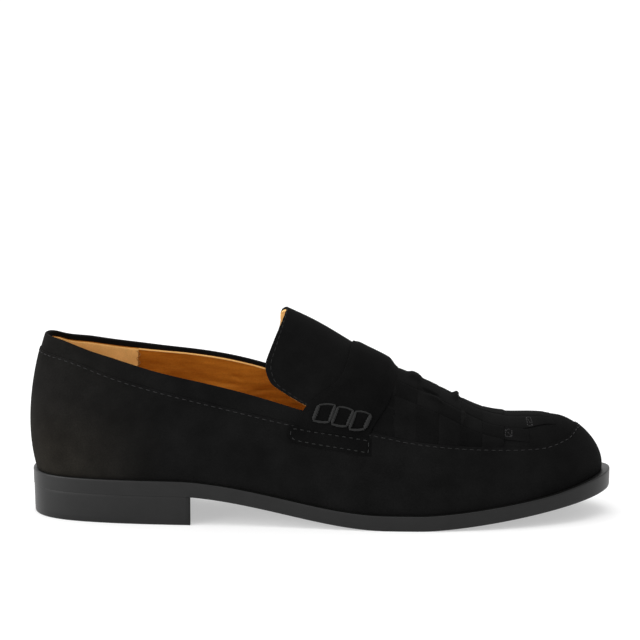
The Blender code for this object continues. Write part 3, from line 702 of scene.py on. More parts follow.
class Finish:
    """A procedural material in the shoe's own coordinates, built up one layer at a time."""

    def __init__(self, name, roughness, specular, sheen=0.0, sheen_roughness=0.5):
        self.material = bpy.data.materials.new(name)
        self.material.use_nodes = True
        self.tree = self.material.node_tree
        self.place = self.node("TexCoord", "Object", {})
        self.bumps = {}
        self.shade({"Roughness": roughness, "Specular IOR Level": specular})
        self.shade({"Sheen Weight": sheen, "Sheen Roughness": sheen_roughness})

    def node(self, kind, output, sockets, **settings):
        """One output of a new node."""
        return add_node(self.tree, kind, sockets, **settings).outputs[output]

    def shade(self, sockets):
        """Sets or links inputs of the shader."""
        set_sockets(self.tree, self.tree.nodes["Principled BSDF"], sockets)

    def noise(self, size, detail=3.0, roughness=0.6, stretch=(1.0, 1.0, 1.0)):
        """Noise whose lumps are about this size in millimetres."""
        place = self.node("Mapping", "Vector", {"Vector": self.place, "Scale": stretch})
        lumps = {"Vector": place, "Scale": 1 / (size * MM), "Detail": detail, "Roughness": roughness}
        return self.node("TexNoise", "Fac", lumps)

    def ramp(self, source, low, high, start=0.3, end=0.7):
        """Two colours mixed by a value between a start and an end."""
        ramp = add_node(self.tree, "ValToRGB", {"Fac": source})
        for element, place, colour in zip(ramp.color_ramp.elements, (start, end), (low, high)):
            element.position = place
            element.color = (*colour, 1.0)
        return ramp.outputs["Color"]

    def multiply(self, one, other):
        sockets = {"Factor": 1.0, "A": one, "B": other}
        return self.node("Mix", "Result", sockets, data_type="RGBA", blend_type="MULTIPLY")

    def fade(self, axis, start, end):
        """Falls smoothly from 1 at one place on an axis to 0 at another, in millimetres."""
        place = self.node("SeparateXYZ", axis, {"Vector": self.place})
        span = {"Value": place, "From Min": start * MM, "From Max": end * MM, "To Min": 1.0, "To Max": 0.0}
        return self.node("MapRange", "Result", span, interpolation_type="SMOOTHSTEP")

    def product(self, one, other):
        return self.node("Math", "Value", {0: one, 1: other}, operation="MULTIPLY")

    def colour(self, source):
        self.shade({"Base Color": source})

    def rough(self, source, low, high):
        """Roughness that varies between two values."""
        spread = {"Value": source, "To Min": low, "To Max": high}
        self.shade({"Roughness": self.node("MapRange", "Result", spread)})

    def bump(self, source, strength, distance):
        """Adds a bump of this depth in millimetres over the ones before it."""
        sockets = {"Strength": strength, "Distance": distance * MM, "Height": source, **self.bumps}
        self.bumps = {"Normal": self.node("Bump", "Normal", sockets)}
        self.shade(self.bumps)


def grey(value):
    return (value, value, value)


def make_suede(name, tone):
    """Black suede: a matt nap, brushed in soft patches, with painted light at the back of the heel."""
    finish = Finish(name, 0.95, 0.03, sheen=0.008, sheen_roughness=0.45)
    patches = finish.ramp(finish.noise(14.0, 2.0), grey(0.78 * tone), grey(1.22 * tone))
    nap = finish.ramp(finish.noise(0.5, 4.0, 0.7), grey(0.7), grey(1.3))
    # Painted light: lighter and browner at the back of the heel, most of all low down.
    back = finish.fade("X", *(SHIFT[0] + np.array(PAINTED_LIGHT_BACK)))
    low = finish.product(back, finish.fade("Z", *PAINTED_LIGHT_LOW))
    painted_light = finish.multiply(
        finish.ramp(back, grey(1.0), PAINTED_LIGHT_TONE, 0.0, 1.0), finish.ramp(low, grey(1.0), PAINTED_LOW_LIGHT_TONE, 0.0, 1.0)
    )
    finish.colour(finish.multiply(finish.multiply(patches, nap), painted_light))
    finish.bump(finish.noise(0.35, 4.0, 0.7), 0.5, 0.12)
    finish.bump(finish.noise(3.0, 2.0), 0.25, 0.12)
    return finish.material


def make_rubber():
    """Black rubber of sole and heel: satin, with a fine moulded grain."""
    finish = Finish("black_rubber", 0.4, 0.30)
    grain = finish.noise(0.8, 3.0)
    finish.colour(finish.ramp(finish.noise(9.0, 3.0), grey(0.002), grey(0.004)))
    finish.rough(grain, 0.36, 0.48)
    finish.bump(grain, 0.12, 0.05)
    return finish.material


def make_leather():
    """Orange-tan lining leather: smooth, with fine creases and pores."""
    finish = Finish("tan_leather", 0.55, 0.08)
    streaks = finish.noise(6.0, 3.0, 0.6, (0.3, 1.0, 1.4))
    tone = finish.ramp(streaks, (0.325, 0.097, 0.008), (0.48, 0.165, 0.016))
    pores = finish.ramp(finish.noise(0.7, 3.0), grey(0.85), grey(1.05))
    finish.colour(finish.multiply(tone, pores))
    finish.rough(finish.noise(2.0, 2.0), 0.4, 0.62)
    finish.bump(finish.noise(5.0, 3.0, 0.6, (0.3, 1.0, 1.8)), 0.6, 0.5)
    finish.bump(finish.noise(0.6, 3.0), 0.25, 0.08)
    return finish.material


def make_grip():
    """Light tan heel grip: fine brushed leather."""
    finish = Finish("light_tan_leather", 0.8, 0.15, sheen=0.05)
    tone = finish.ramp(finish.noise(6.0, 3.0), (0.80, 0.46, 0.15), (0.93, 0.56, 0.195))
    nap = finish.ramp(finish.noise(0.4, 4.0, 0.7), grey(0.85), grey(1.08))
    finish.colour(finish.multiply(tone, nap))
    finish.bump(finish.noise(0.4, 4.0, 0.7), 0.4, 0.1)
    return finish.material


def make_thread(name, low, high):
    """Twisted sewing thread."""
    finish = Finish(name, 0.7, 0.2, sheen=0.05)
    finish.colour(finish.ramp(finish.noise(0.5, 2.0), low, high))
    finish.bump(finish.noise(0.25, 2.0, 0.6, (1.0, 1.0, 0.5)), 0.4, 0.08)
    return finish.material


# Four copies of one black suede. The wall's is lighter, as painted light. The cross strips' and the strap's
# are darker, as painted shade. Both stand for how the light falls on those parts.
suede = make_suede("black_suede", 0.0044)
cross_suede_painted_shade = make_suede("black_suede_across_painted_shade", 0.0034)
strap_suede = make_suede("black_suede_strap_painted_shade", 0.0032)
wall_suede_painted_light = make_suede("black_suede_wall_painted_light", 0.0049)
rubber = make_rubber()
leather = make_leather()
grip_leather = make_grip()
black_thread = make_thread("black_thread", grey(0.007), grey(0.012))
dark_thread = make_thread("dark_thread", grey(0.005), grey(0.009))
tan_thread = make_thread("tan_thread", (0.30, 0.13, 0.03), (0.40, 0.18, 0.045))


# Sole, heel and insole.


def sole_sections(count, bottom, top, rings):
    """Closed sections of a sole, back to front. Each ring is a distance out and a share of the height."""
    sections = []
    for turn in np.linspace(0, 1, count):
        distance, height = np.array(rings(turn)).T
        halves = []
        for side in (OUTER, INNER):
            x, y = feather_offset(turn, side, distance)
            halves.append(np.stack([x, y, bottom(x) + height * (top(x) - bottom(x))], axis=1))
        sections.append(np.concatenate([halves[0], halves[1][::-1]]))
    return np.array(sections)


def make_outsole():
    """The outsole, whose lower edge is rounded in front of the heel and square over it."""

    def rings(turn):
        edge = welt(turn)
        free = smooth((feather(turn, OUTER)[0] - ROUND_START) / ROUND_LENGTH)
        round_in = 0.03 + 0.5 * free
        side = edge - 0.15
        return (
            (edge - RIM_WIDTH, 0.0),
            (side - round_in, 0.0),
            (side - 0.45 * round_in, 0.02 * free),
            (side - 0.12 * round_in, 0.02 + 0.06 * free),
            (side, 0.03 + 0.11 * free),
            (edge - 0.08, 0.45),
            (edge - 0.03, 0.76),
            (edge, 0.9),
            (edge - 0.03, 0.95),
            (edge - 0.15, 0.985),
            (edge - 0.4, 1.0),
            (edge - RIM_WIDTH, 1.0),
        )

    bm = ring_loft([sole_sections(241, sole_bottom, sole_top, rings)], capped=False)
    add_piece("outsole_rubber", bm, rubber, "outsole")


def breast_x(y):
    """The front of the heel block, hollowed at its middle and skewed."""
    turn = turn_at(BREAST_X)
    across = (y - centre(turn)) / half_width(turn)
    return BREAST_X + BREAST_SKEW * (across + 1) / 2 - BREAST_HOLLOW * np.clip(1 - across**2, 0, None)


def heel_outline(inset):
    """The heel block seen from above, from the breast round the back to the breast again."""
    sides = []
    for side, corner in ((OUTER, BREAST_X), (INNER, BREAST_X + BREAST_SKEW)):
        turns = np.linspace(0, turn_at(corner), 61)
        x, y = feather_offset(turns, side, welt(turns) - HEEL_SETBACK - inset)
        sides.append(np.stack([x, y], axis=1))
    y = np.linspace(sides[1][-1, 1], sides[0][-1, 1], 41)[1:-1]
    return np.concatenate([sides[0][::-1], sides[1][1:], np.stack([breast_x(y), y], axis=1)])


def make_heel():
    """The heel block, with a rounded foot. Its top follows the outsole."""
    heights = [(z, HEEL_TAPER + inset) for z, inset in HEEL_ROUNDING]
    heights += [(z, HEEL_TAPER * (1 - z / HEEL_RISE)) for z in (3.0, 6.0, 9.0, FITTED_HEIGHT)]
    heights += [(HEEL_RISE - 0.12, 0.0), (HEEL_RISE, 0.03)]
    rings = []
    for z, inset in heights:
        x, y = heel_outline(inset).T
        lift = max(0.0, z - FITTED_HEIGHT) / (HEEL_RISE - FITTED_HEIGHT)
        rings.append(np.stack([x, y, z + lift * (sole_bottom(x) - HEEL_RISE)], axis=1))
    add_piece("heel_block", ring_loft([np.array(rings)]), rubber, "heel")


def make_insole():
    def top(x):
        return sole_top(x) + INSOLE_LIFT + INSOLE_THICKNESS

    def bottom(x):
        return sole_top(x) + INSOLE_FOOT

    sections = sole_sections(161, bottom, top, lambda turn: INSOLE_RINGS)
    add_piece("insole_sock", ring_loft([sections], capped=False), leather, "insole")


# The upper: lower wall, collar band, vamp and linings.

at_foot, at_crest = partial(same_level, 0.0), partial(same_level, 1.0)
under_wall = partial(level_on, wall_edge_z, offset=-WALL_LAP)


def make_wall():
    """The lower wall, with creases and the puckers of its seam."""
    at_edge = partial(level_on, wall_edge_z)
    grids = both_halves(np.linspace(0, 1, 361), at_foot, at_edge, crowded(37, 1.35))
    reliefs = []
    for grid in grids:
        seam = grid[:, -1]
        below = np.linalg.norm(grid - seam[:, None], axis=2)
        pucker = PUCKER * np.cos(2 * math.pi * run_along(seam) / SEAM_PITCH)[:, None] - PUCKER_SINK
        pucker = pucker * np.exp(-(((below - SEAM_DEPTH) / PUCKER_WIDTH) ** 2))
        relief = crease_relief(grid, CREASES) + pucker
        relief[0] = relief[-1] = 0.0
        reliefs.append(relief)
    panel("wall_suede_painted_light", grids, wall_suede_painted_light, "upper", 0.0, WALL_THICKNESS, edge=0.35, reliefs=reliefs)


def make_collar():
    turns = np.linspace(0, turn_at(THROAT_X + THROAT_LAP), 221)
    grids = both_halves(turns, under_wall, partial(level_on, topline_z), np.linspace(0, 1, 15))
    panel("collar_suede", grids, wall_suede_painted_light, "upper", UNDER_LAYER, BAND_THICKNESS, edge=0.45)


def make_vamp():
    turns = np.linspace(turn_at(THROAT_X), 1, 181)
    grids = both_halves(turns, under_wall, at_crest, np.linspace(0, 1, 41))
    panel("vamp_suede", grids, suede, "upper", UNDER_LAYER, VAMP_THICKNESS, edge=0.2)


def make_lining():
    """The linings of quarters and vamp, the pale cut edge below the topline and the heel grip."""
    lap, grip_end = turn_at(THROAT_X + THROAT_LAP), turn_at(GRIP_END)
    grids = both_halves(np.linspace(0, lap, 221), at_foot, lining_top, crowded(49, 1.8))
    creases = crease_relief(grids[1], LINING_CREASES)
    reliefs = [0 * creases, creases]
    layer, thickness, edge = LINING_LAYER, LINING_THICKNESS, LINING_ROUNDING
    panel("quarter_lining", grids, leather, "upper", layer, thickness, edge, reliefs)
    grids = both_halves(np.linspace(lap, 1, 101), at_foot, at_crest, np.linspace(0, 1, 41))
    panel("vamp_lining", grids, leather, "upper", layer, thickness, edge)
    foot, turns = partial(lining_top, offset=-RAW_EDGE), np.linspace(grip_end, lap, 121)
    grids = both_halves(turns, foot, lining_top, np.linspace(0, 1, 5))
    for name, grid in zip(("lining_edge_outer", "lining_edge_inner"), grids):
        panel(name, [grid], grip_leather, "upper", RAW_LAYER, thickness, edge)
    foot, top = partial(same_level, GRIP_FOOT), partial(lining_top, offset=-GRIP_DROP)
    grids = both_halves(np.linspace(0, grip_end, 81), foot, top, np.linspace(0, 1, 31))
    panel("heel_grip", grids, grip_leather, "upper", GRIP_LAYER, GRIP_THICKNESS, edge)


# The weave of the vamp.

crest_run = np.linspace(THROAT_X, FEATHER_BACK + LAST_LENGTH - 0.5, 600)
crest_reach = crest_x(crest_run)
vamp_levels = np.linspace(1, 0.2, 81)  # from the crest to below the wall's edge
strip_across = np.linspace(-1, 1, 17)  # places across a strip
strip_pillow = STRIP_PILLOW * (1 - strip_across**4)


def vamp_point(x, arc):
    """Points of the vamp and their outward directions, by x along its crest and by the arc from it.

    The arc is measured from the crest, towards the outer side, and both are arrays of one shape.
    """
    turn = turn_at(np.interp(x, crest_reach, crest_run))
    points, outs = np.zeros((*x.shape, 3)), np.zeros((*x.shape, 3))
    for side in (OUTER, INNER):
        chosen = arc >= 0 if side == OUTER else arc < 0
        for i in np.argwhere(chosen.any(axis=1)).ravel():
            here = chosen[i]
            turns = turn[i, here]
            runs = run_along(last_point(turns[:, None], vamp_levels, side))
            reach = np.abs(arc[i, here])
            levels = np.array([np.interp(r, run, vamp_levels) for r, run in zip(reach, runs)])
            points[i, here] = last_point(turns, levels, side)
            outs[i, here] = last_normal(turns, levels, side)
    return points, outs


def seam_arc(x, side):
    """Length of the arc from the crest to the wall's edge, at each x."""
    turn = turn_at(np.interp(x, crest_reach, crest_run))
    edge = level_on(wall_edge_z, turn, side)
    levels = edge[:, None] + (1 - edge)[:, None] * np.linspace(0, 1, LINE_POINTS)
    return run_along(last_point(turn[:, None], levels, side))[:, -1]


def long_lines(x):
    """The lines along the vamp between which the long strips lie: the inner seam first, the outer last."""
    drift = DRIFT * smooth((x - DRIFT_START) / (DRIFT_END - DRIFT_START))
    inner, outer = -seam_arc(x, INNER), seam_arc(x, OUTER)
    lines = [inner]
    for arc, share in zip(*LONG_LINES.values()):
        lines.append(np.clip(arc + share * drift, inner + LINE_CLEAR, outer - LINE_CLEAR))
    return np.array(lines + [outer])


def long_over(strip, cross):
    """Whether a long strip, counted from the inner side, passes over a cross strip."""
    return (strip + cross) % 2 == 1


def strip_heights(x, arc, lines, rise, pillow):
    """Heights of a strip's outside over the last, from how far it has risen over its neighbours."""
    rise = rise * smooth((x - STRAP_SHADE) / (STRAP_CLEAR - STRAP_SHADE))
    curl = np.zeros(arc.shape)
    for curl_x, curl_arc, half_x, half_arc, height in zip(*CURLS.values()):
        curl += height * np.exp(-(((x - curl_x) / half_x) ** 4) - ((arc - curl_arc) / half_arc) ** 4)
    from_seam = np.minimum(arc - lines[0], lines[-1] - arc)
    dive = SEAM_DIVE * (1 - smooth(from_seam / DIVE_WIDTH))
    return UNDER_LAYER + STRIP_THICKNESS * (1 + rise) + curl + pillow - dive


def climb(place, start, end):
    """Rises from 0 to 1 round a start and falls again round an end."""
    half = STRIP_SLOPE / 2
    return smooth((place - start + half) / STRIP_SLOPE) * smooth((end + half - place) / STRIP_SLOPE)


def make_strip(name, x, arc, heights, material):
    points, outs = vamp_point(x, arc)
    grid = points + outs * heights[..., None]
    panel(name, [grid], material, "upper", 0.0, STRIP_THICKNESS, edge=0.12)


def make_long_strip(strip):
    """A strip of suede along the vamp, which dives under every other cross strip."""
    end, taper = LONG_STRIPS["end"][strip], LONG_STRIPS["taper"][strip]
    x = np.linspace(WEAVE_START - STRIP_HIDDEN, end, 131)
    lines = long_lines(x)
    low, high = lines[strip] + STRIP_GAP / 2, lines[strip + 1] - STRIP_GAP / 2
    high = high - taper * smooth((x - end + TAPER_LENGTH) / TAPER_LENGTH)
    arc = low + (high - low) * (strip_across[:, None] + 1) / 2
    rise = np.zeros(x.shape)
    for cross in range(-1, CROSS_STRIPS):
        if long_over(strip, cross):
            start = WEAVE_START + cross * CROSS_PITCH
            rise += climb(x, start, start + CROSS_PITCH)
    x = np.broadcast_to(x, arc.shape)
    heights = strip_heights(x, arc, lines, np.minimum(rise, 1.0), strip_pillow[:, None])
    heights -= STRIP_SINK * smooth((x - end) / SINK_LENGTH + 1)
    make_strip(f"long_strip_{strip + 1}", x, arc, heights, suede)


def make_cross_strip(cross):
    """A strip of suede across the vamp, from seam to seam. Number -1 comes out from under the strap."""
    start = WEAVE_START + cross * CROSS_PITCH + STRIP_GAP / 2
    x = start + (CROSS_PITCH - STRIP_GAP) * (strip_across + 1) / 2
    lines = long_lines(x)
    arc = lines[0] + (lines[-1] - lines[0]) * np.linspace(0, 1, 161)[:, None]
    rise = np.zeros(arc.shape)
    for strip in range(len(lines) - 1):
        if not long_over(strip, cross):
            rise += climb(arc, lines[strip], lines[strip + 1])
    x = np.broadcast_to(x, arc.shape)
    heights = strip_heights(x, arc, lines, np.minimum(rise, 1.0), strip_pillow)
    make_strip(f"cross_strip_{cross + 2}", x, arc, heights, cross_suede_painted_shade)


# Tongue, strap and tabs.


def tongue_grid(side, inset):
    """One half of the tongue, drawn in from its free edge by a function of the share along it."""
    root_turn = turn_at(THROAT_X + TONGUE_ROOT)
    low = level_on(topline_z, turn_at(THROAT_X), side, offset=-TONGUE_TUCK)
    shares = np.linspace(0, 1, TONGUE_POINTS)
    grid = []
    for share in shares:
        x, z = tongue_x(share), tongue_z(share)
        if side == INNER:
            x = x + tongue_shift(share)
            z = z + inner_lift(x) * (1 - share)
        level = 1.0 if share == 1 else level_at_height(turn_at(x), side, z)
        root, edge = np.array([root_turn, low + share * (1 - low)]), np.array([turn_at(x), level])
        lengths = run_along(last_point(*(root + shares[:, None] * (edge - root)).T, side))
        keep = np.interp(shares * (lengths[-1] - inset(share)), lengths, shares)
        grid.append(last_point(*(root + keep[:, None] * (edge - root)).T, side))
    return np.array(grid)


def make_tongue():
    grids = [tongue_grid(side, lambda share: 0.0) for side in (OUTER, INNER)]
    panel("tongue_suede", grids, suede, "tongue", 0.0, TONGUE_SUEDE, edge=0.35)
    grids = [tongue_grid(side, lambda share: LINING_INSET) for side in (OUTER, INNER)]
    panel("tongue_lining", grids, grip_leather, "tongue", -TONGUE_SUEDE, TONGUE_LINING, edge=0.2)


def tab_top(x):
    """How far below the wall's edge the tab starts."""
    along = np.clip((x - TAB_BACK) / (TAB_FRONT - TAB_BACK), 0, 1)
    return TAB_DROP_BACK + along * (TAB_DROP_FRONT - TAB_DROP_BACK)


def strap_grid(side):
    """One half of the saddle strap, from the middle of the instep to its stitched end."""
    points = []
    for share in np.linspace(0, 1, STRAP_ROWS):
        reach = STRAP_REACH * (1 - smooth(share / LIFT_END))
        x = np.linspace(strap_back_x(share), strap_front_x(share) + reach, STRAP_COLUMNS)
        turn = turn_at(x)
        end = level_on(wall_edge_z, turn, side, offset=-tab_top(x) - STRAP_TUCK)
        level = levels_by_length(turn, side, np.ones(turn.shape), end, np.array([share]))[:, 0]
        points.append(last_point(turn, level, side))
    return np.array(points)


def strap_front(along):
    """How the strap falls to its front edge, from 0 to 1, by the share of its width."""
    return smooth((along - FALL_START) / (1 - FALL_START))


def make_strap():
    share, along = np.linspace(0, 1, STRAP_ROWS)[:, None], np.linspace(0, 1, STRAP_COLUMNS)
    fade = 1 - smooth((share - LIFT_START) / (LIFT_END - LIFT_START))
    front = strap_front(along)
    shape = STRAP_LIFT * smooth(along / SWELL_END) - STRAP_FALL * front
    relief = fade * shape - (1 - fade) * SIDE_FALL * front
    relief -= THIN_BACK * (1 - smooth(along / THIN_WIDTH))
    relief -= END_PRESS * smooth((share - PRESS_START) / (1 - PRESS_START))
    grids, reliefs = [strap_grid(OUTER), strap_grid(INNER)], [relief, relief]
    node, layer, thickness = "saddle_strap", STRAP_LAYER, STRAP_THICKNESS
    panel("strap_suede", grids, strap_suede, node, layer, thickness, edge=0.5, reliefs=reliefs)


def tab_point(x, rise, side):
    """Turn and level of places on the tab, by x and by height above the tab's middle line."""
    turn = turn_at(x)
    return turn, level_on(wall_edge_z, turn, side, offset=rise - TAB_HEIGHT / 2 - tab_top(x))


def make_tab(name, node, side):
    """A tab with a round back end, whose front end lies down."""
    radius = TAB_HEIGHT / 2
    angle = np.linspace(TAB_TIP_ANGLE, math.pi / 2, 24)
    straight = np.linspace(TAB_BACK + radius, TAB_FRONT, 50)[1:]
    x = np.concatenate([TAB_BACK + radius * (1 - np.cos(angle)), straight])[:, None]
    half_height = np.concatenate([radius * np.sin(angle), np.full(straight.shape, radius)])
    rise = half_height[:, None] * np.linspace(1, -1, 15)
    turn, level = tab_point(np.broadcast_to(x, rise.shape), rise, side)
    relief = np.broadcast_to(-TAB_SINK * smooth((x - TAB_FRONT) / SINK_LENGTH + 1), rise.shape)
    grids = [last_point(turn, level, side)]
    panel(name, grids, strap_suede, node, TAB_LAYER, TAB_THICKNESS, edge=0.35, reliefs=[relief])


# Stitches and thread.


def joined_tubes(name, tubes, material, node, sides=6):
    """Tubes as one piece. Each has centre points, outward directions, radii and a share of twist."""
    angle = np.linspace(0, 2 * math.pi, sides, endpoint=False)
    lofts = []
    for line, out, radius, twist in tubes:
        along = unit(np.gradient(line, axis=0))
        across = unit(np.cross(along, out))
        up = np.cross(across, along)
        turned = angle - TWIST_STEP * np.arange(len(line))[:, None]
        reach = radius[:, None] * (1 + TWIST_DEPTH * twist * np.cos(2 * turned))
        ring = across[:, None] * (np.cos(angle) * reach)[..., None]
        lofts.append(line[:, None] + ring + up[:, None] * (np.sin(angle) * reach)[..., None])
    add_piece(name, ring_loft(lofts), material, node)


STITCH_SHAPE = table(
    "share width lift",
    (0.0, 0.35, -0.9),
    (0.08, 0.8, -0.2),
    (0.25, 1.0, 0.35),
    (0.5, 1.0, 0.5),
    (0.75, 1.0, 0.35),
    (0.92, 0.8, -0.2),
    (1.0, 0.35, -0.9),
)


def stitch(start, end, out, radius):
    """One stitch between two points, that dips into the leather at both ends."""
    share = STITCH_SHAPE["share"][:, None]
    line = start + (end - start) * share + out * (STITCH_SHAPE["lift"] * radius)[:, None]
    outs = np.repeat(out[None, :], len(line), axis=0)
    return line, outs, radius * STITCH_SHAPE["width"], 0.0


def stitch_run(line, out, pitch, length, radius=THREAD_RADIUS):
    """A row of stitches along a line of points."""
    run = run_along(line)

    def at(place, values):
        return np.array([np.interp(place, run, column) for column in values.T])

    count = max(1, int(round(run[-1] / pitch)))
    stitches = []
    for middle in (np.arange(count) + 0.5) * (run[-1] / count):
        start, end = at(middle - length / 2, line), at(middle + length / 2, line)
        stitches.append(stitch(start, end, unit(at(middle, out)), radius))
    return stitches


def seam_stitches():
    """The row of stitches round the whole top edge of the wall."""
    turns = np.linspace(0, 1, 700)
    tubes = []
    for side in (OUTER, INNER):
        level = level_on(wall_edge_z, turns, side, offset=-SEAM_DEPTH)
        out = last_normal(turns, level, side)
        line = last_point(turns, level, side) - STITCH_SINK * out
        tubes += stitch_run(line, out, SEAM_PITCH, SEAM_STITCH)
    joined_tubes("seam_stitches", tubes, black_thread, "upper")


def tack_stitches():
    """The stitched boxes that hold the long strips near the toe."""
    tubes = []
    height = UNDER_LAYER + STRIP_THICKNESS + STRIP_PILLOW - STITCH_SINK
    for strip, x, length in zip(TACKS["strip"].astype(int), TACKS["x"], TACKS["length"]):
        back, front = x - length / 2, x + length / 2
        low, high = long_lines(np.array([x]))[strip : strip + 2, 0] + (TACK_MARGIN, -TACK_MARGIN)
        path = [(back, low), (front, low), (front, high), (back, high), (back, low), (front, high)]
        corners = np.array(path)
        for a, b in zip(corners[:-1], corners[1:]):
            run = a + (b - a) * np.linspace(0, 1, 9)[:, None]
            points, outs = vamp_point(run[:, :1], run[:, 1:])
            line, out = points[:, 0], outs[:, 0]
            tubes += stitch_run(line + height * out, out, TACK_PITCH, TACK_STITCH, TACK_RADIUS)
    joined_tubes("tack_stitches", tubes, black_thread, "upper")


def tongue_stitches():
    """The row of stitches along the free edge of the tongue."""

    def margin(share):
        return EDGE_MARGIN - EDGE_NARROWING * smooth((share - NARROW_START) / (1 - NARROW_START))

    tubes = []
    for side in (OUTER, INNER):
        line = tongue_grid(side, margin)[:, -1]
        further_in = tongue_grid(side, lambda share: margin(share) + EDGE_STEP)[:, -1]
        out = unit(np.cross(np.gradient(line, axis=0), further_in - line) * side)
        out *= np.sign(out[:, 2:3])
        tubes += stitch_run(line, out, EDGE_PITCH, EDGE_STITCH, EDGE_RADIUS)
    joined_tubes("tongue_stitches", tubes, dark_thread, "tongue")


def tab_stitches(name, node, side):
    """The stitches inside the tab's edge: along its top, round its back end, along its foot and up again."""
    radius = TAB_HEIGHT / 2 - TAB_MARGIN
    front, back = TAB_FRONT - TAB_MARGIN, TAB_BACK + TAB_HEIGHT / 2
    along = np.linspace(front, back, 40)
    angle = np.linspace(math.pi / 2, 3 * math.pi / 2, 20)[1:-1]
    up = np.linspace(-radius, radius, 8)[1:]
    level_run = np.full(along.shape, radius)
    x = np.concatenate([along, back + radius * np.cos(angle), along[::-1], np.full(up.shape, front)])
    rise = np.concatenate([level_run, radius * np.sin(angle), -level_run, up])
    turn, level = tab_point(x, rise, side)
    out = last_normal(turn, level, side)
    line = last_point(turn, level, side) + out * (TAB_LAYER - STITCH_SINK / 2)
    joined_tubes(name, stitch_run(line, out, TAB_PITCH, TAB_STITCH), black_thread, node)


def strap_thread(name, side):
    """Thick twisted thread sewn in three loops through the strap's end."""
    # The strap's edges beside the thread are those of the third row from its end.
    back, front = STRAP["back_x"][-3], STRAP["front_x"][-3]

    def thread(start, end, radius, bow=0.0, sink=0.0, twist=1.0):
        """A tube between two places on the strap, each an x and a height above the wall's edge."""
        share = np.linspace(0, 1, len(radius))
        x, rise = start[:, None] + share * (end - start)[:, None]
        turn = turn_at(x)
        level = level_on(wall_edge_z, turn, side, offset=rise + bow * np.sin(math.pi * share))
        out = last_normal(turn, level, side)
        height = STRAP_LAYER + THREAD_LIFT - SIDE_FALL * strap_front((x - back) / (front - back)) - sink
        return last_point(turn, level, side) + out * height[:, None], out, radius, twist

    bars = np.array(list(THREAD_BARS.values())).T
    taper = np.sqrt(np.clip(1 - np.abs(np.linspace(-1, 1, 33)) ** BAR_POWER, BAR_TIP, 1))
    tubes = [thread(bar[:2], bar[2:4], bar[4] * taper) for bar in bars]
    for one, other in zip(bars[0::2], bars[1::2]):
        for ends, radius, bow in ((slice(2, 4), TOP_LINK, TOP_BOW), (slice(2), LOW_LINK, -LOW_BOW)):
            tubes.append(thread(one[ends], other[ends], np.full(17, radius), bow, LINK_SINK, LINK_TWIST))
    joined_tubes(name, tubes, black_thread, "saddle_strap", 12)


def grip_stitches():
    """A zig-zag of stitches down the front edges of the heel grip."""
    shares = np.linspace(*ZIGZAG_SHARES, ZIGZAG_STEPS)
    on_grip = np.arange(ZIGZAG_STEPS) % 2 == 0
    depth = np.where(on_grip, GRIP_LAYER - GRIP_THICKNESS, LINING_LAYER - LINING_THICKNESS)
    turn = turn_at(GRIP_END + np.where(on_grip, -ZIGZAG_BACK, ZIGZAG_FRONT))
    tubes = []
    for side in (OUTER, INNER):
        level = shares * lining_top(turn_at(GRIP_END), side)
        out = -last_normal(turn, level, side)
        points = last_point(turn, level, side) - out * depth[:, None]
        for start, end, normal in zip(points[:-1], points[1:], out[:-1]):
            tubes.append(stitch(start, end, normal, ZIGZAG_RADIUS))
    joined_tubes("grip_stitches", tubes, tan_thread, "upper")


# The studio.


def add_light(name, place, size, power):
    lamp = bpy.data.lights.new(name, "AREA")
    lamp.shape = "DISK"
    lamp.size = size
    lamp.energy = power
    light = bpy.data.objects.new(name, lamp)
    light.location = place
    light.rotation_euler = (Vector(LIGHT_TARGET) - Vector(place)).to_track_quat("-Z", "Y").to_euler()
    bpy.context.scene.collection.objects.link(light)


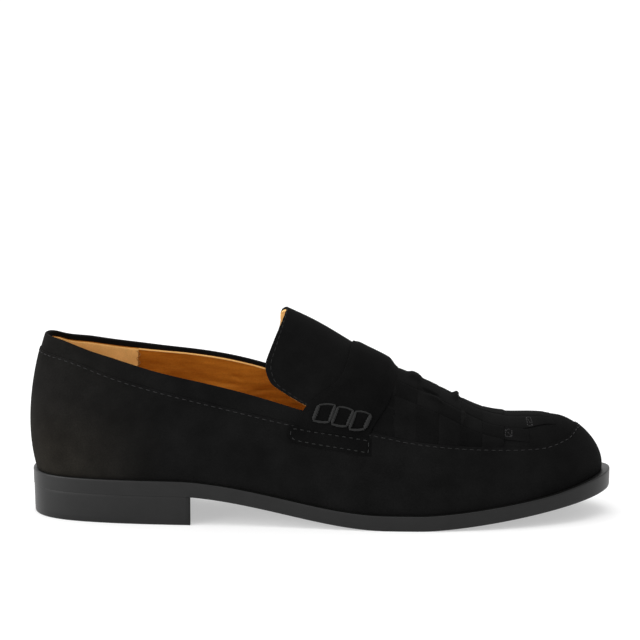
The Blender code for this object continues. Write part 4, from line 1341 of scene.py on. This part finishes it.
def make_studio():
    half = FLOOR_SIZE / 2
    mesh = bpy.data.meshes.new("studio_floor")
    corners = [(-half, -half, 0), (half, -half, 0), (half, half, 0), (-half, half, 0)]
    mesh.from_pydata(corners, [], [(0, 1, 2, 3)])
    finish = Finish("studio_white", 0.9, 0.0)
    finish.colour(finish.ramp(finish.noise(400.0, 1.0), grey(0.59), grey(0.61)))
    finish.shade({"Emission Color": WHITE, "Emission Strength": FLOOR_GLOW})
    mesh.materials.append(finish.material)
    floor = bpy.data.objects.new("studio_floor", mesh)
    bpy.context.scene.collection.objects.link(floor)

    world = bpy.data.worlds.new("studio")
    world.use_nodes = True
    tree = world.node_tree
    direction = add_node(tree, "TexCoord", {}).outputs["Generated"]
    across = add_node(tree, "SeparateXYZ", {"Vector": direction}).outputs["X"]
    room = {"Value": across, "From Min": -1.0, "To Min": ROOM_LEFT, "To Max": ROOM_RIGHT}
    strength = add_node(tree, "MapRange", room).outputs["Result"]
    set_sockets(tree, tree.nodes["Background"], {"Color": WHITE, "Strength": strength})
    bpy.context.scene.world = world
    for light in LIGHTS:
        add_light(*light)


def make_camera():
    azimuth, elevation = math.radians(AZIMUTH), math.radians(ELEVATION)
    level = math.cos(elevation)
    back = Vector((math.sin(azimuth) * level, -math.cos(azimuth) * level, math.sin(elevation)))
    data = bpy.data.cameras.new("camera")
    data.lens = LENS
    data.sensor_width = SENSOR
    data.clip_end = FAR_CLIP
    camera = bpy.data.objects.new("camera", data)
    camera.location = Vector((LOOK_X + SHIFT[0], 0.0, LOOK_Z)) * MM + back * DISTANCE * MM
    camera.rotation_euler = (-back).to_track_quat("-Z", "Y").to_euler()
    bpy.context.scene.collection.objects.link(camera)
    bpy.context.scene.camera = camera


def main():
    make_outsole()
    make_heel()
    make_insole()
    make_wall()
    make_collar()
    make_vamp()
    make_lining()
    for strip in range(len(LONG_STRIPS["end"])):
        make_long_strip(strip)
    for cross in range(-1, CROSS_STRIPS):
        make_cross_strip(cross)
    make_tongue()
    make_strap()
    make_tab("tab_outer_suede", "strap_tab_outer", OUTER)
    make_tab("tab_inner_suede", "strap_tab_inner", INNER)
    seam_stitches()
    tack_stitches()
    tongue_stitches()
    tab_stitches("tab_outer_stitches", "strap_tab_outer", OUTER)
    tab_stitches("tab_inner_stitches", "strap_tab_inner", INNER)
    strap_thread("strap_thread_outer", OUTER)
    strap_thread("strap_thread_inner", INNER)
    grip_stitches()
    make_studio()
    make_camera()
    bpy.context.scene.view_settings.view_transform = "Standard"


main()
